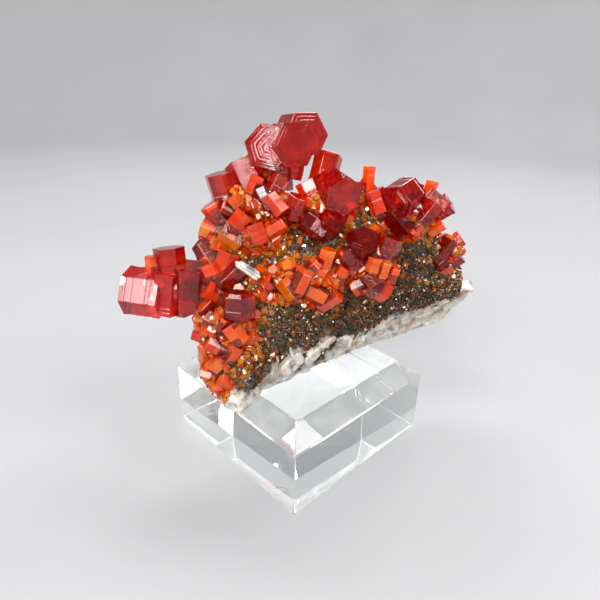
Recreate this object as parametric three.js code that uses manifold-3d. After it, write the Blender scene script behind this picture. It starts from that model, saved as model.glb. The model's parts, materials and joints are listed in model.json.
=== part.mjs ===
// Vanadinite crystals on a plate of barite, standing on a clear bevelled display block.
// Millimetres, +Z up. The origin is the middle of the block's underside. The display side faces -Y,
// so +X is to the right of someone who looks at it. Headings are degrees round +Z, with 0 along +X
// and -90 towards the viewer; rise is degrees above the horizontal.

import * as THREE from "three";
import { ConvexGeometry } from "three/addons/geometries/ConvexGeometry.js";
import { MeshSurfaceSampler } from "three/addons/math/MeshSurfaceSampler.js";
import { mergeVertices } from "three/addons/utils/BufferGeometryUtils.js";
import Module from "manifold-3d";

const wasm = await Module();
wasm.setup();

// Display block
const BLOCK_SIDE = 38.1;
const BLOCK_TOP_SIDE = 30.5;
const BLOCK_WALL_HEIGHT = 13.8;
const BLOCK_HEIGHT = 17.4;

// Clearances between neighbours. A skin, a slab and a grain have sharp corners, so they are grown by a
// multiple of the clearance to keep it at their flat faces as well.
const REST_GAP = 0.05;
const CLEARANCE = 0.3;
const SKIN_MARGIN = 1.5;
const SLAB_MARGIN = 1.6;
const GRAIN_MARGIN = 1.8;

// Edges shorter than this are merged away
const SMALLEST_EDGE = 0.02;

// Rock surface
const ROCK_CELL = 3.7;
const ROCK_BLEND = 4;
const ROCK_SWELLS = 0.5;
const ROCK_KNOBS = 1.1;
const DRUSE_GRAINS = 14;
const DRUSE_WIDTH = [2.0, 3.2];

// Small crystals that cover the root of a cluster
const CRUST_WIDTH = [2.1, 3.6];

const UP = new THREE.Vector3(0, 0, 1);
const radians = THREE.MathUtils.degToRad;

// Materials

const MATERIALS = {
  acrylic: new THREE.MeshStandardMaterial({
    color: 0xeef4f5, roughness: 0.04, metalness: 0, transparent: true, opacity: 0.35,
  }),
  barite: new THREE.MeshStandardMaterial({ color: 0x8d8274, roughness: 0.85, metalness: 0 }),
  vanadinite: new THREE.MeshStandardMaterial({ color: 0xa8180c, roughness: 0.16, metalness: 0 }),
};

// Solids

function randomFrom(seed) {
  let state = seed;
  return () => {
    state = (state * 16807) % 2147483647;
    return state / 2147483647;
  };
}

// Spins a shape round +Z, then leans that axis to the heading and rise given. With no spin, a prism that
// lies flat has a level side face.

function leaned(geometry, { heading, rise, spin }) {
  return geometry.rotateZ(radians(spin)).rotateY(radians(90 - rise)).rotateZ(radians(heading));
}

function solidFrom(geometry) {
  const bare = geometry.clone();
  bare.deleteAttribute("normal");
  bare.deleteAttribute("uv");
  const merged = mergeVertices(bare, 1e-4);
  return new wasm.Manifold(new wasm.Mesh({
    numProp: 3,
    vertProperties: new Float32Array(merged.attributes.position.array),
    triVerts: new Uint32Array(merged.index.array),
  }));
}

function joined(solids) {
  return solids.reduce((whole, piece) => whole.add(piece));
}

function mainBody(solid) {
  const pieces = solid.simplify(SMALLEST_EDGE).decompose();
  return pieces.reduce((best, piece) => (piece.volume() > best.volume() ? piece : best));
}

function geometryFrom(solid) {
  const mesh = solid.getMesh();
  const geometry = new THREE.BufferGeometry();
  geometry.setAttribute("position", new THREE.BufferAttribute(new Float32Array(mesh.vertProperties), 3));
  geometry.setIndex(new THREE.BufferAttribute(new Uint32Array(mesh.triVerts), 1));
  geometry.computeVertexNormals();
  return geometry;
}

function part(name, solid, material) {
  const mesh = new THREE.Mesh(geometryFrom(solid), material);
  mesh.name = name;
  return mesh;
}

// A six-sided prism with flat ends. With terraces, each end carries thinner, smaller copies of it.

const TERRACE_RISE = 0.35;
const TERRACE_SHRINK = 0.8;

function prism(width, height) {
  return new THREE.CylinderGeometry(width / 2, width / 2, height, 6).rotateX(Math.PI / 2);
}

function crystal({ at, width, height, terraces = 0, ...lean }, grow = 0) {
  const levels = Array.from({ length: terraces + 1 }, (_, level) =>
    prism(width * TERRACE_SHRINK ** level + 2 * grow, height + 2 * (level * TERRACE_RISE + grow)));
  return joined(levels.map((level) => solidFrom(leaned(level, lean).translate(...at))));
}

// The root of a cluster: a plain faceted lump with the half sizes given

function root({ at, half }, grow = 0) {
  return solidFrom(new THREE.IcosahedronGeometry(1, 0)
    .scale(half[0] + grow, half[1] + grow, half[2] + grow)
    .translate(...at));
}

// The closed skin where a distance field crosses a level, with one corner in each grid cell it crosses.
// Corners are placed at the mean of the crossings on the cell's edges, so the faces come out flat and broad.

const SKIN_TOUCH = 0.1;
const CELL_CORNERS = [0, 1, 2, 3, 4, 5, 6, 7].map((bits) => [bits & 1, (bits >> 1) & 1, (bits >> 2) & 1]);
const CELL_EDGES = CELL_CORNERS.flatMap((from, a) => CELL_CORNERS.flatMap((to, b) => {
  const apart = Math.abs(from[0] - to[0]) + Math.abs(from[1] - to[1]) + Math.abs(from[2] - to[2]);
  return a < b && apart === 1 ? [[a, b]] : [];
}));

function skin(field, low, high, cell, level) {
  const count = low.map((start, axis) => Math.ceil((high[axis] - start) / cell) + 1);
  const slot = ([i, j, k]) => (k * count[1] + j) * count[0] + i;
  const point = (place) => place.map((step, axis) => low[axis] + step * cell);
  const cells = (margin) => {
    const places = [];
    for (let k = margin; k < count[2] - 1; k += 1) {
      for (let j = margin; j < count[1] - 1; j += 1) {
        for (let i = margin; i < count[0] - 1; i += 1) {
          places.push([i, j, k]);
        }
      }
    }
    return places;
  };
  const values = new Float32Array(count[0] * count[1] * count[2]).fill(1);
  cells(0).forEach((place) => {
    values[slot(place)] = field(...point(place)) - level;
  });

  // Where four grid points in a square are inside and outside by turns, the skin would touch itself.
  // One more of them is taken inside, until there is no such square.
  const squares = [[1, 0, 0], [0, 1, 0], [0, 0, 1]]
    .flatMap((a, n, steps) => steps.slice(n + 1).map((b) => [a, b]));
  const add = (place, step) => place.map((value, axis) => value + step[axis]);
  for (let mended = true; mended;) {
    mended = false;
    cells(1).forEach((place) => squares.forEach(([a, b]) => {
      const ring = [place, add(place, a), add(add(place, a), b), add(place, b)].map(slot);
      const inside = ring.map((at) => values[at] < 0);
      if (inside[0] === inside[2] && inside[1] === inside[3] && inside[0] !== inside[1]) {
        values[inside[0] ? ring[1] : ring[0]] = -SKIN_TOUCH * cell;
        mended = true;
      }
    }));
  }

  const corners = [];
  const cornerOf = new Map();
  cells(0).forEach((place) => {
    const at = CELL_CORNERS.map((step) => add(place, step));
    const depth = at.map((corner) => values[slot(corner)]);
    const crossings = CELL_EDGES.filter(([a, b]) => (depth[a] < 0) !== (depth[b] < 0)).map(([a, b]) => {
      const share = depth[a] / (depth[a] - depth[b]);
      return at[a].map((value, axis) => value + share * (at[b][axis] - value));
    });
    if (crossings.length > 0) {
      const mean = [0, 1, 2].map((axis) => crossings.reduce((sum, c) => sum + c[axis], 0) / crossings.length);
      cornerOf.set(slot(place), corners.length / 3);
      corners.push(...point(mean));
    }
  });

  const faces = [];
  cells(1).forEach((place) => {
    [0, 1, 2].forEach((axis) => {
      const next = place.map((value, other) => value + (other === axis ? 1 : 0));
      const inside = values[slot(place)] < 0;
      if (inside === values[slot(next)] < 0) {
        return;
      }
      const [side, up] = [(axis + 1) % 3, (axis + 2) % 3];
      const ring = [[0, 0], [1, 0], [1, 1], [0, 1]].map(([s, u]) => cornerOf.get(slot(
        place.map((value, other) => value - (other === side ? s : 0) - (other === up ? u : 0)))));
      const [a, b, c, d] = inside ? ring : ring.reverse();
      faces.push(a, b, c, a, c, d);
    });
  });

  const geometry = new THREE.BufferGeometry();
  geometry.setAttribute("position", new THREE.BufferAttribute(new Float32Array(corners), 3));
  geometry.setIndex(faces);
  return geometry;
}

// A broken slab with flat faces, through the corners given. It grows away from its middle.

function slab(corners, grow = 0) {
  const points = corners.map((corner) => new THREE.Vector3(...corner));
  const middle = points.reduce((sum, point) => sum.add(point), new THREE.Vector3())
    .divideScalar(points.length);
  const grown = points.map((point) => {
    const out = point.clone().sub(middle);
    return point.clone().addScaledVector(out.normalize(), SLAB_MARGIN * grow);
  });
  return solidFrom(new ConvexGeometry(grown));
}

// A tabular barite blade: a thin six-cornered plate.

function blade({ at, length, width, thickness, ...lean }, grow = 0) {
  const plate = new THREE.CylinderGeometry(0.5, 0.5, 1, 6)
    .rotateX(Math.PI / 2)
    .scale(length + 2 * grow, width + 2 * grow, thickness + 2 * grow);
  return solidFrom(leaned(plate, lean).translate(...at));
}

// Places spread over the surface of a solid, each with the outward direction there

const TRIES_PER_PLACE = 60;

function placesOn(solid, count, random, wanted = () => true) {
  const sampler = new MeshSurfaceSampler(new THREE.Mesh(geometryFrom(solid).toNonIndexed()))
    .setRandomGenerator(random)
    .build();
  const places = [];
  for (let tries = 0; places.length < count && tries < TRIES_PER_PLACE * count; tries += 1) {
    const at = new THREE.Vector3();
    const out = new THREE.Vector3();
    sampler.sample(at, out);
    if (wanted(at, out)) {
      places.push({ at, out });
    }
  }
  return places;
}

// Display block, with one corner of the square towards the viewer

function displayBlock(grow = 0) {
  const corner = Math.SQRT1_2;
  const wall = BLOCK_SIDE * corner + grow;
  const top = BLOCK_TOP_SIDE * corner + grow;
  const profile = [
    new THREE.Vector2(0, 0),
    new THREE.Vector2(wall, 0),
    new THREE.Vector2(wall, BLOCK_WALL_HEIGHT + grow),
    new THREE.Vector2(top, BLOCK_HEIGHT + grow),
    new THREE.Vector2(0, BLOCK_HEIGHT + grow),
  ];
  const turned = new THREE.LatheGeometry(profile, 4, 0, 2 * Math.PI)
    .rotateX(Math.PI / 2);
  return solidFrom(turned);
}

// Barite matrix

const BOULDERS = [
  { at: [-11.3, -15.2, 20.4], half: [4.2, 5.0, 4.6], turn: 35 },
  { at: [-11.4, -10.4, 25.6], half: [4.8, 5.8, 6.2], turn: 20 },
  { at: [-12.4, -4.4, 32.0], half: [7.2, 6.0, 6.2], turn: 10 },
  { at: [-19.0, -1.6, 34.0], half: [4.6, 3.8, 4.0], turn: 0 },
  { at: [-5.0, -7.0, 21.8], half: [5.6, 5.6, 6.0], turn: 40 },
  { at: [-1.0, -2.4, 27.2], half: [8.2, 6.0, 9.0], turn: 35 },
  { at: [7.6, 4.4, 23.8], half: [8.6, 5.8, 7.4], turn: 35 },
  { at: [15.6, 9.4, 25.2], half: [7.4, 5.6, 7.2], turn: 30 },
  { at: [-3.6, -0.5, 35.0], half: [9.6, 6.4, 6.6], turn: 15 },
  { at: [9.6, 3.6, 36.0], half: [10.4, 6.8, 7.6], turn: 20 },
  { at: [21.0, 8.4, 34.8], half: [9.6, 6.6, 8.4], turn: 20 },
  { at: [30.2, 11.6, 32.6], half: [6.6, 4.8, 5.6], turn: 15 },
  { at: [-12.0, 2.0, 43.4], half: [7.0, 5.6, 8.0], turn: 0 },
  { at: [-8.6, 4.2, 50.6], half: [4.4, 3.8, 5.0], turn: 0 },
  { at: [0.5, 3.2, 42.8], half: [8.0, 5.6, 5.8], turn: 10 },
  { at: [12.4, 5.4, 44.6], half: [7.6, 5.2, 5.6], turn: 10 },
  { at: [23.0, 8.4, 43.6], half: [6.8, 4.8, 5.0], turn: 15 },
  { at: [-1.0, 6.6, 29.0], half: [9.2, 6.2, 10.0], turn: 25 },
  { at: [27.0, 11.6, 26.4], half: [9.4, 4.4, 4.6], turn: 18 },
];

const HOLLOWS = [
  // The cleft in the druse between the front row and the right front crystals
  { at: [8.6, -4.6, 35.0], half: [1.9, 4.2, 6.0], turn: -10 },
  // The recess between the lower left crystals and the shoulder
  { at: [-8.4, -9.6, 37.2], half: [2.6, 3.2, 2.2], turn: 20 },
  // Bites along the pale broken foot
  { at: [8.6, -1.8, 19.6], half: [2.6, 2.4, 1.8], turn: 35 },
  { at: [22.6, 7.0, 22.4], half: [3.4, 2.2, 1.8], turn: 25 },
];

const SLABS = [
  // The pale broken shelf that hangs past the block on the right
  [[13, 4, 18.4], [19, 13, 17.6], [18, 7.4, 17.6], [33, 11.4, 21.4], [32, 19, 23], [39.4, 14.6, 27.4],
    [38, 18.4, 28.6], [24, 18, 26], [22, 7, 23.4], [36, 12.6, 28.4]],
  // The pointed foot on the left
  [[-13.4, -19.6, 17.2], [-10.2, -20.2, 16.6], [-7.0, -14.2, 17.5], [-5.6, -12.4, 20], [-15.6, -15.6, 18.4],
    [-13.8, -12.0, 17.6], [-11.0, -17.6, 23.4], [-9.0, -9.0, 17.5]],
  // The flat underside along the block
  [[-7.6, -14.4, 17.2], [-2.2, -6.6, 17.2], [9.8, 2.4, 17.2], [17, 7.2, 17.2], [14, 14, 17.2], [0, 9, 17.2],
    [-10, -3, 17.2], [-3.4, -7.2, 21], [9, 2.6, 21.4], [15, 8, 22], [0, 8, 23], [-9, -5, 22]],
];

const BLADES = [
  { at: [-9.6, -6.2, 40.2], length: 6.4, width: 3.6, thickness: 1.3, heading: -70, rise: 42, spin: 48 },
  { at: [-3.2, -7.6, 20.4], length: 6.6, width: 4.4, thickness: 2.6, heading: -50, rise: 20, spin: 62 },
  { at: [0.2, -6.0, 21.2], length: 4.6, width: 3.4, thickness: 2.0, heading: -40, rise: 50, spin: 80 },
  { at: [5.0, -2.2, 22.8], length: 5.8, width: 3.2, thickness: 1.8, heading: -35, rise: 10, spin: -83 },
  { at: [3.2, -3.8, 20.4], length: 4.4, width: 3.0, thickness: 1.6, heading: -60, rise: 60, spin: 70 },
  { at: [37.2, 14.8, 29.2], length: 6.0, width: 3.4, thickness: 1.2, heading: -80, rise: 65, spin: 88 },
];

// Distance from a boulder's surface, negative inside it

function boulderDistance(x, y, z, { at, half, turn }) {
  const [dx, dy, dz] = [x - at[0], y - at[1], z - at[2]];
  const [cos, sin] = [Math.cos(radians(turn)), Math.sin(radians(turn))];
  const local = [dx * cos + dy * sin, dy * cos - dx * sin, dz];
  const reach = Math.hypot(...local.map((value, axis) => value / half[axis]));
  const slope = Math.hypot(...local.map((value, axis) => value / half[axis] ** 2));
  return slope === 0 ? -Math.min(...half) : (reach * (reach - 1)) / slope;
}

function rockDistance(x, y, z) {
  const blended = BOULDERS.map((shape) => boulderDistance(x, y, z, shape)).reduce((near, next) => {
    const meeting = Math.max(ROCK_BLEND - Math.abs(near - next), 0);
    return Math.min(near, next) - meeting ** 2 / (4 * ROCK_BLEND);
  });
  const swells = Math.sin(0.5 * x + 0.4 * z) + Math.sin(0.6 * y - 0.4 * x + 2) + Math.sin(0.7 * z + 0.3 * y);
  const knobs = Math.sin(1.7 * x + 0.9 * y) * Math.sin(1.5 * z - 0.8 * x + 1) * Math.sin(1.9 * y + 0.7 * z);
  const hollow = Math.min(...HOLLOWS.map((shape) => boulderDistance(x, y, z, shape)));
  return Math.max(blended + ROCK_SWELLS * swells + ROCK_KNOBS * knobs, -hollow);
}

const ROCK_LOW = [-32, -28, 6];
const ROCK_HIGH = [44, 23, 62];

function matrixBody(grow = 0) {
  return joined([
    solidFrom(skin(rockDistance, ROCK_LOW, ROCK_HIGH, ROCK_CELL, SKIN_MARGIN * grow)),
    ...SLABS.map((corners) => slab(corners, grow)),
    ...BLADES.map((shape) => blade(shape, grow)),
  ]);
}

// The druse is a skin of stubby grains on the side faces of the rock, above its pale broken foot.

const DRUSE_FLOOR = 21;
const DRUSE_STEEPEST = 0.75;
const DRUSE_SEED = 411;

function druseGrains(body, grow = 0) {
  const random = randomFrom(DRUSE_SEED);
  const onSides = (at, out) => at.z > DRUSE_FLOOR && Math.abs(out.z) < DRUSE_STEEPEST;
  return placesOn(body, DRUSE_GRAINS, random, onSides).map(({ at, out }) => {
    const width = THREE.MathUtils.lerp(...DRUSE_WIDTH, random());
    const grain = new THREE.OctahedronGeometry(width / 2 + GRAIN_MARGIN * grow, 0)
      .applyQuaternion(new THREE.Quaternion().setFromUnitVectors(UP, out))
      .translate(...at);
    return solidFrom(grain);
  });
}

// Vanadinite clusters. Each has roots, the lumps of intergrown crystal that hold it together, single
// crystals with places of their own, and a crust of small crystals over the roots.

const CLUSTERS = {
  // The tower on the left: the summit crystals, the spur below them, and the orange shoulder
  vanadinite_tower: {
    roots: [
      { at: [-5.8, 4.8, 55.4], half: [3.4, 3.0, 4.2] },
      { at: [-12.8, 0.8, 50.4], half: [5.0, 4.2, 3.8] },
      { at: [-7.0, 0.4, 50.4], half: [4.6, 3.6, 3.4] },
      { at: [-15.0, -1.0, 43.8], half: [5.0, 4.2, 4.8] },
      { at: [-9.6, -1.8, 45.6], half: [5.4, 3.6, 3.4] },
    ],
    crystals: [
      { at: [-7.2, 3.2, 60.4], width: 9.4, height: 5.6, heading: -84, rise: 12, spin: -12, terraces: 1 },
      { at: [-3.0, 4.0, 61.4], width: 9.8, height: 5.8, heading: -66, rise: 6, spin: 2, terraces: 1 },
      { at: [-1.3, 7.2, 62.6], width: 9.6, height: 6.4, heading: -62, rise: 8, spin: 0, terraces: 1 },
      { at: [-5.0, 4.4, 56.2], width: 5.8, height: 7.2, heading: 100, rise: 82, spin: 0 },
      { at: [-2.2, 6.0, 57.4], width: 4.6, height: 5.6, heading: 30, rise: 75, spin: 0 },
      { at: [-15.4, 1.2, 53.4], width: 6.6, height: 5.6, heading: 180, rise: 75, spin: 22 },
      { at: [-11.0, 3.2, 55.2], width: 7.4, height: 6.4, heading: 150, rise: 58, spin: 10 },
      { at: [-12.4, -2.2, 51.2], width: 3.2, height: 3.6, heading: -160, rise: 55, spin: 10 },
      { at: [-14.0, -2.6, 50.0], width: 2.8, height: 3.2, heading: -170, rise: 30, spin: 10 },
      { at: [-9.4, -0.6, 54.4], width: 3.0, height: 3.6, heading: 30, rise: 65, spin: -25 },
      { at: [-7.6, -1.2, 52.0], width: 3.6, height: 4.4, heading: 160, rise: 60, spin: 5 },
      { at: [-5.4, 0.0, 54.4], width: 3.8, height: 4.4, heading: 20, rise: 60, spin: 22 },
      { at: [-5.2, -2.6, 51.2], width: 3.6, height: 4.2, heading: 150, rise: 40, spin: -20 },
      { at: [-1.8, -1.6, 50.8], width: 4.0, height: 4.4, heading: -10, rise: 70, spin: 5 },
      { at: [-17.4, -2.4, 42.2], width: 4.4, height: 4.6, heading: 180, rise: 60, spin: -30 },
      { at: [-14.6, -4.6, 40.4], width: 5.4, height: 5.0, heading: 20, rise: 70, spin: -10 },
      { at: [-17.0, -2.4, 46.0], width: 4.4, height: 4.4, heading: 170, rise: 20, spin: 20 },
      { at: [-13.6, -4.0, 45.4], width: 4.2, height: 4.4, heading: -170, rise: 35, spin: 5 },
      { at: [-16.6, -1.8, 49.0], width: 4.2, height: 4.2, heading: -170, rise: 60, spin: -20 },
      { at: [-12.0, -3.6, 48.2], width: 4.2, height: 4.2, heading: 15, rise: 50, spin: -15 },
      { at: [-8.4, -4.4, 46.4], width: 3.6, height: 3.8, heading: 165, rise: 70, spin: 25 },
      { at: [-5.2, -3.4, 47.4], width: 3.8, height: 4.0, heading: 0, rise: 35, spin: 25 },
    ],
    crust: { count: 9, seed: 2037 },
  },
  vanadinite_left_arm: {
    roots: [
      { at: [-24.0, -4.0, 34.6], half: [6.0, 3.6, 4.4] },
      { at: [-16.4, -5.0, 36.6], half: [4.2, 3.4, 3.4] },
    ],
    crystals: [
      { at: [-30.8, -4.2, 33.6], width: 10.6, height: 7.2, heading: 178, rise: 5, spin: -3, terraces: 1 },
      { at: [-25.4, -3.6, 39.8], width: 6.6, height: 5.6, heading: 120, rise: 78, spin: -20 },
      { at: [-28.6, -4.6, 39.8], width: 3.0, height: 2.8, heading: 100, rise: 80, spin: 20 },
      { at: [-26.2, -4.4, 34.2], width: 8.0, height: 8.6, heading: 10, rise: 82, spin: 15 },
      { at: [-21.6, -4.8, 35.2], width: 7.8, height: 8.8, heading: 0, rise: 85, spin: -26 },
      { at: [-18.2, -6.2, 34.0], width: 4.6, height: 6.0, heading: -20, rise: 80, spin: -10 },
      { at: [-23.2, -4.2, 32.0], width: 6.0, height: 5.0, heading: 180, rise: 70, spin: -10 },
      { at: [-16.6, -6.0, 38.2], width: 5.2, height: 5.0, heading: 150, rise: 65, spin: 0 },
      { at: [-13.2, -6.4, 38.4], width: 4.6, height: 4.6, heading: 25, rise: 40, spin: 20 },
      { at: [-16.2, -8.0, 35.4], width: 4.4, height: 4.4, heading: -165, rise: 35, spin: 20 },
    ],
    crust: { count: 1, seed: 2328 },
  },
  vanadinite_lower_left: {
    roots: [
      { at: [-13.6, -12.4, 28.6], half: [4.6, 4.0, 6.6] },
      { at: [-14.8, -15.0, 22.4], half: [2.8, 3.0, 4.0] },
      { at: [-16.6, -9.0, 30.0], half: [3.6, 3.4, 4.0] },
    ],
    crystals: [
      { at: [-11.2, -12.2, 35.2], width: 6.6, height: 4.2, heading: 90, rise: 82, spin: -10, terraces: 1 },
      { at: [-13.8, -14.6, 32.4], width: 2.4, height: 2.8, heading: 10, rise: 60, spin: 5 },
      { at: [-18.4, -10.0, 27.6], width: 3.8, height: 3.8, heading: 170, rise: 20, spin: 20 },
      { at: [-17.0, -13.0, 24.8], width: 3.4, height: 3.2, heading: -150, rise: 10, spin: -10 },
      { at: [-14.8, -15.0, 28.4], width: 4.0, height: 4.2, heading: -170, rise: 30, spin: 20 },
      { at: [-12.2, -15.6, 27.0], width: 3.8, height: 4.2, heading: 20, rise: 60, spin: -25 },
      { at: [-11.6, -14.8, 30.8], width: 4.2, height: 4.2, heading: 170, rise: 55, spin: -20 },
      { at: [-15.4, -12.8, 31.6], width: 4.0, height: 4.0, heading: 160, rise: 20, spin: -28 },
      { at: [-14.6, -15.8, 24.8], width: 4.0, height: 4.0, heading: 0, rise: 45, spin: 25 },
      { at: [-13.0, -17.2, 22.2], width: 3.6, height: 3.6, heading: -160, rise: 40, spin: 0 },
      { at: [-16.6, -9.6, 32.4], width: 4.4, height: 4.4, heading: -170, rise: 50, spin: -15 },
      { at: [-13.6, -9.8, 33.6], width: 4.8, height: 4.6, heading: 30, rise: 75, spin: 18 },
    ],
    crust: { count: 8, seed: 2425 },
  },
  vanadinite_front_row: {
    roots: [
      { at: [-1.4, -6.0, 37.6], half: [5.6, 3.6, 3.2] },
      { at: [4.0, -4.6, 36.8], half: [3.8, 3.2, 3.4] },
    ],
    crystals: [
      { at: [-2.4, -8.2, 37.2], width: 3.8, height: 4.2, heading: 170, rise: 50, spin: 10 },
      { at: [0.0, -8.4, 39.0], width: 4.0, height: 4.6, heading: 20, rise: 65, spin: 25 },
      { at: [5.2, -6.4, 34.6], width: 4.4, height: 4.6, heading: -10, rise: 40, spin: 5 },
      { at: [-2.4, -6.0, 40.0], width: 3.6, height: 4.0, heading: 150, rise: 70, spin: 0 },
      { at: [4.4, -4.6, 41.8], width: 3.6, height: 4.2, heading: 0, rise: 75, spin: -5 },
      { at: [2.4, -7.0, 36.0], width: 4.6, height: 4.8, heading: 175, rise: 25, spin: -18 },
      { at: [1.8, -5.6, 40.2], width: 3.6, height: 3.8, heading: 15, rise: 45, spin: 18 },
      { at: [-5.8, -7.2, 37.4], width: 3.0, height: 3.2, heading: -160, rise: 50, spin: 10 },
      { at: [7.4, -4.2, 38.6], width: 3.0, height: 3.4, heading: 10, rise: 60, spin: 0 },
    ],
    crust: { count: 3, seed: 2522 },
  },
  vanadinite_centre: {
    roots: [{ at: [3.2, 1.6, 50.0], half: [5.0, 3.8, 3.6] }],
    crystals: [
      { at: [6.1, 1.0, 53.5], width: 8.2, height: 6.6, heading: -66, rise: -7, spin: 28, terraces: 1 },
      { at: [3.8, 6.6, 56.4], width: 6.2, height: 6.0, heading: 60, rise: 65, spin: -20 },
      { at: [1.2, 2.2, 52.6], width: 4.8, height: 5.2, heading: 160, rise: 60, spin: 0 },
      { at: [4.6, -1.4, 47.2], width: 5.4, height: 5.0, heading: -55, rise: 48, spin: 7 },
      { at: [2.2, -1.4, 47.4], width: 5.2, height: 4.8, heading: 170, rise: 30, spin: -10 },
      { at: [0.0, 0.4, 49.0], width: 4.2, height: 4.6, heading: -170, rise: 50, spin: 22 },
    ],
    crust: { count: 1, seed: 2619 },
  },
  vanadinite_right_front: {
    roots: [{ at: [12.6, -1.4, 40.2], half: [4.6, 3.2, 5.0] }],
    crystals: [
      { at: [11.2, -1.8, 43.4], width: 7.4, height: 4.8, heading: -95, rise: 62, spin: -25, terraces: 1 },
      { at: [16.2, -0.8, 43.2], width: 5.6, height: 4.8, heading: 10, rise: 70, spin: 10 },
      { at: [9.4, -3.2, 41.8], width: 4.4, height: 4.4, heading: 165, rise: 60, spin: 20 },
      { at: [13.6, -4.6, 41.0], width: 3.2, height: 2.8, heading: 0, rise: 78, spin: -25 },
      { at: [15.4, -4.6, 40.2], width: 3.2, height: 3.0, heading: 0, rise: 76, spin: -20 },
      { at: [17.2, -4.0, 39.0], width: 3.0, height: 3.0, heading: 0, rise: 74, spin: -22 },
      { at: [14.4, -3.2, 38.4], width: 5.4, height: 5.0, heading: 5, rise: 35, spin: 14 },
      { at: [12.2, -4.0, 38.0], width: 2.4, height: 2.8, heading: -170, rise: 50, spin: -20 },
      { at: [14.8, -2.4, 35.8], width: 5.4, height: 5.0, heading: 15, rise: -35, spin: 10 },
      { at: [12.0, -2.4, 36.2], width: 4.6, height: 4.4, heading: 175, rise: -30, spin: 8 },
    ],
    crust: { count: 2, seed: 2716 },
  },
  vanadinite_right_top: {
    roots: [{ at: [21.2, 5.2, 48.8], half: [6.4, 3.8, 3.8] }],
    crystals: [
      { at: [19.0, 3.3, 52.0], width: 8.0, height: 5.6, heading: -130, rise: -12, spin: 13, terraces: 1 },
      { at: [20.6, 5.8, 52.8], width: 5.4, height: 4.4, heading: 20, rise: 70, spin: 20 },
      { at: [25.0, 7.4, 52.8], width: 2.8, height: 4.0, heading: 20, rise: 75, spin: 10 },
      { at: [25.8, 3.4, 51.4], width: 3.8, height: 4.8, heading: -30, rise: -30, spin: -5 },
      { at: [24.4, 2.8, 49.4], width: 4.6, height: 4.4, heading: 10, rise: 55, spin: 25 },
      { at: [27.0, 5.2, 49.8], width: 4.8, height: 4.4, heading: -15, rise: 35, spin: 25 },
      { at: [18.6, 3.2, 47.6], width: 5.4, height: 5.2, heading: 170, rise: 45, spin: 7 },
      { at: [22.4, 2.4, 46.8], width: 2.8, height: 3.6, heading: 0, rise: 60, spin: 0 },
      { at: [14.2, 3.6, 51.2], width: 4.4, height: 4.6, heading: 160, rise: 65, spin: -12 },
      { at: [16.0, 5.4, 49.6], width: 5.0, height: 5.2, heading: 20, rise: 60, spin: 12 },
      { at: [26.6, 4.6, 45.8], width: 3.0, height: 3.4, heading: -10, rise: 40, spin: -10 },
    ],
    crust: { count: 3, seed: 2813 },
  },
  vanadinite_far_right: {
    roots: [{ at: [30.4, 9.0, 39.6], half: [3.8, 3.4, 3.6] }],
    crystals: [
      { at: [29.6, 6.8, 41.0], width: 4.2, height: 4.4, heading: 15, rise: 60, spin: -30 },
      { at: [32.0, 8.2, 37.8], width: 4.4, height: 4.2, heading: -10, rise: 45, spin: -2 },
      { at: [28.2, 6.4, 38.8], width: 4.0, height: 4.2, heading: 170, rise: 50, spin: -10 },
      { at: [32.0, 9.2, 41.4], width: 3.8, height: 4.0, heading: 0, rise: 40, spin: 5 },
      { at: [30.2, 7.4, 36.2], width: 3.4, height: 3.6, heading: 0, rise: 30, spin: -8 },
    ],
    crust: { count: 3, seed: 2910 },
  },
  vanadinite_small_prism: {
    roots: [{ at: [11.6, 6.6, 51.2], half: [2.8, 2.4, 2.8] }],
    crystals: [
      { at: [12.4, 6.0, 55.0], width: 2.8, height: 4.8, heading: 80, rise: 84, spin: 25 },
      { at: [12.0, 6.4, 52.6], width: 3.8, height: 3.6, heading: 20, rise: 60, spin: 10 },
    ],
    crust: { count: 1, seed: 3007 },
  },
  vanadinite_back_upper: {
    roots: [{ at: [-10.4, 8.2, 46.8], half: [5.2, 3.2, 5.0] }],
    crystals: [
      { at: [-10.0, 10.6, 49.8], width: 7.6, height: 6.2, heading: 80, rise: 30, spin: -10, terraces: 1 },
      { at: [-14.0, 9.4, 45.8], width: 6.4, height: 5.8, heading: 120, rise: 10, spin: 0 },
      { at: [-6.6, 10.6, 45.2], width: 6.6, height: 5.8, heading: 70, rise: 5, spin: 14 },
      { at: [-10.8, 10.4, 41.8], width: 5.8, height: 5.2, heading: 100, rise: -15, spin: -28 },
    ],
    crust: { count: 4, seed: 3104 },
  },
  vanadinite_back_middle: {
    roots: [{ at: [4.4, 10.6, 38.6], half: [5.4, 3.2, 4.8] }],
    crystals: [
      { at: [3.2, 12.8, 41.0], width: 8.0, height: 6.2, heading: 95, rise: 25, spin: 25, terraces: 1 },
      { at: [8.4, 12.8, 38.8], width: 6.4, height: 5.8, heading: 60, rise: 10, spin: 20 },
      { at: [0.2, 12.6, 36.4], width: 5.8, height: 5.4, heading: 120, rise: -5, spin: 8 },
      { at: [5.4, 13.2, 34.8], width: 5.4, height: 5.0, heading: 80, rise: -20, spin: -5 },
    ],
    crust: { count: 4, seed: 3201 },
  },
  vanadinite_back_right: {
    roots: [{ at: [20.6, 13.4, 42.2], half: [5.0, 3.0, 4.0] }],
    crystals: [
      { at: [20.0, 15.2, 44.2], width: 7.2, height: 5.8, heading: 90, rise: 35, spin: -18, terraces: 1 },
      { at: [24.6, 14.8, 41.4], width: 6.0, height: 5.4, heading: 50, rise: 10, spin: 10 },
      { at: [17.0, 15.0, 40.2], width: 5.8, height: 5.2, heading: 120, rise: 0, spin: 20 },
    ],
    crust: { count: 3, seed: 3298 },
  },
  vanadinite_back_left: {
    roots: [{ at: [-17.8, 2.6, 36.2], half: [4.2, 3.2, 4.4] }],
    crystals: [
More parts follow.
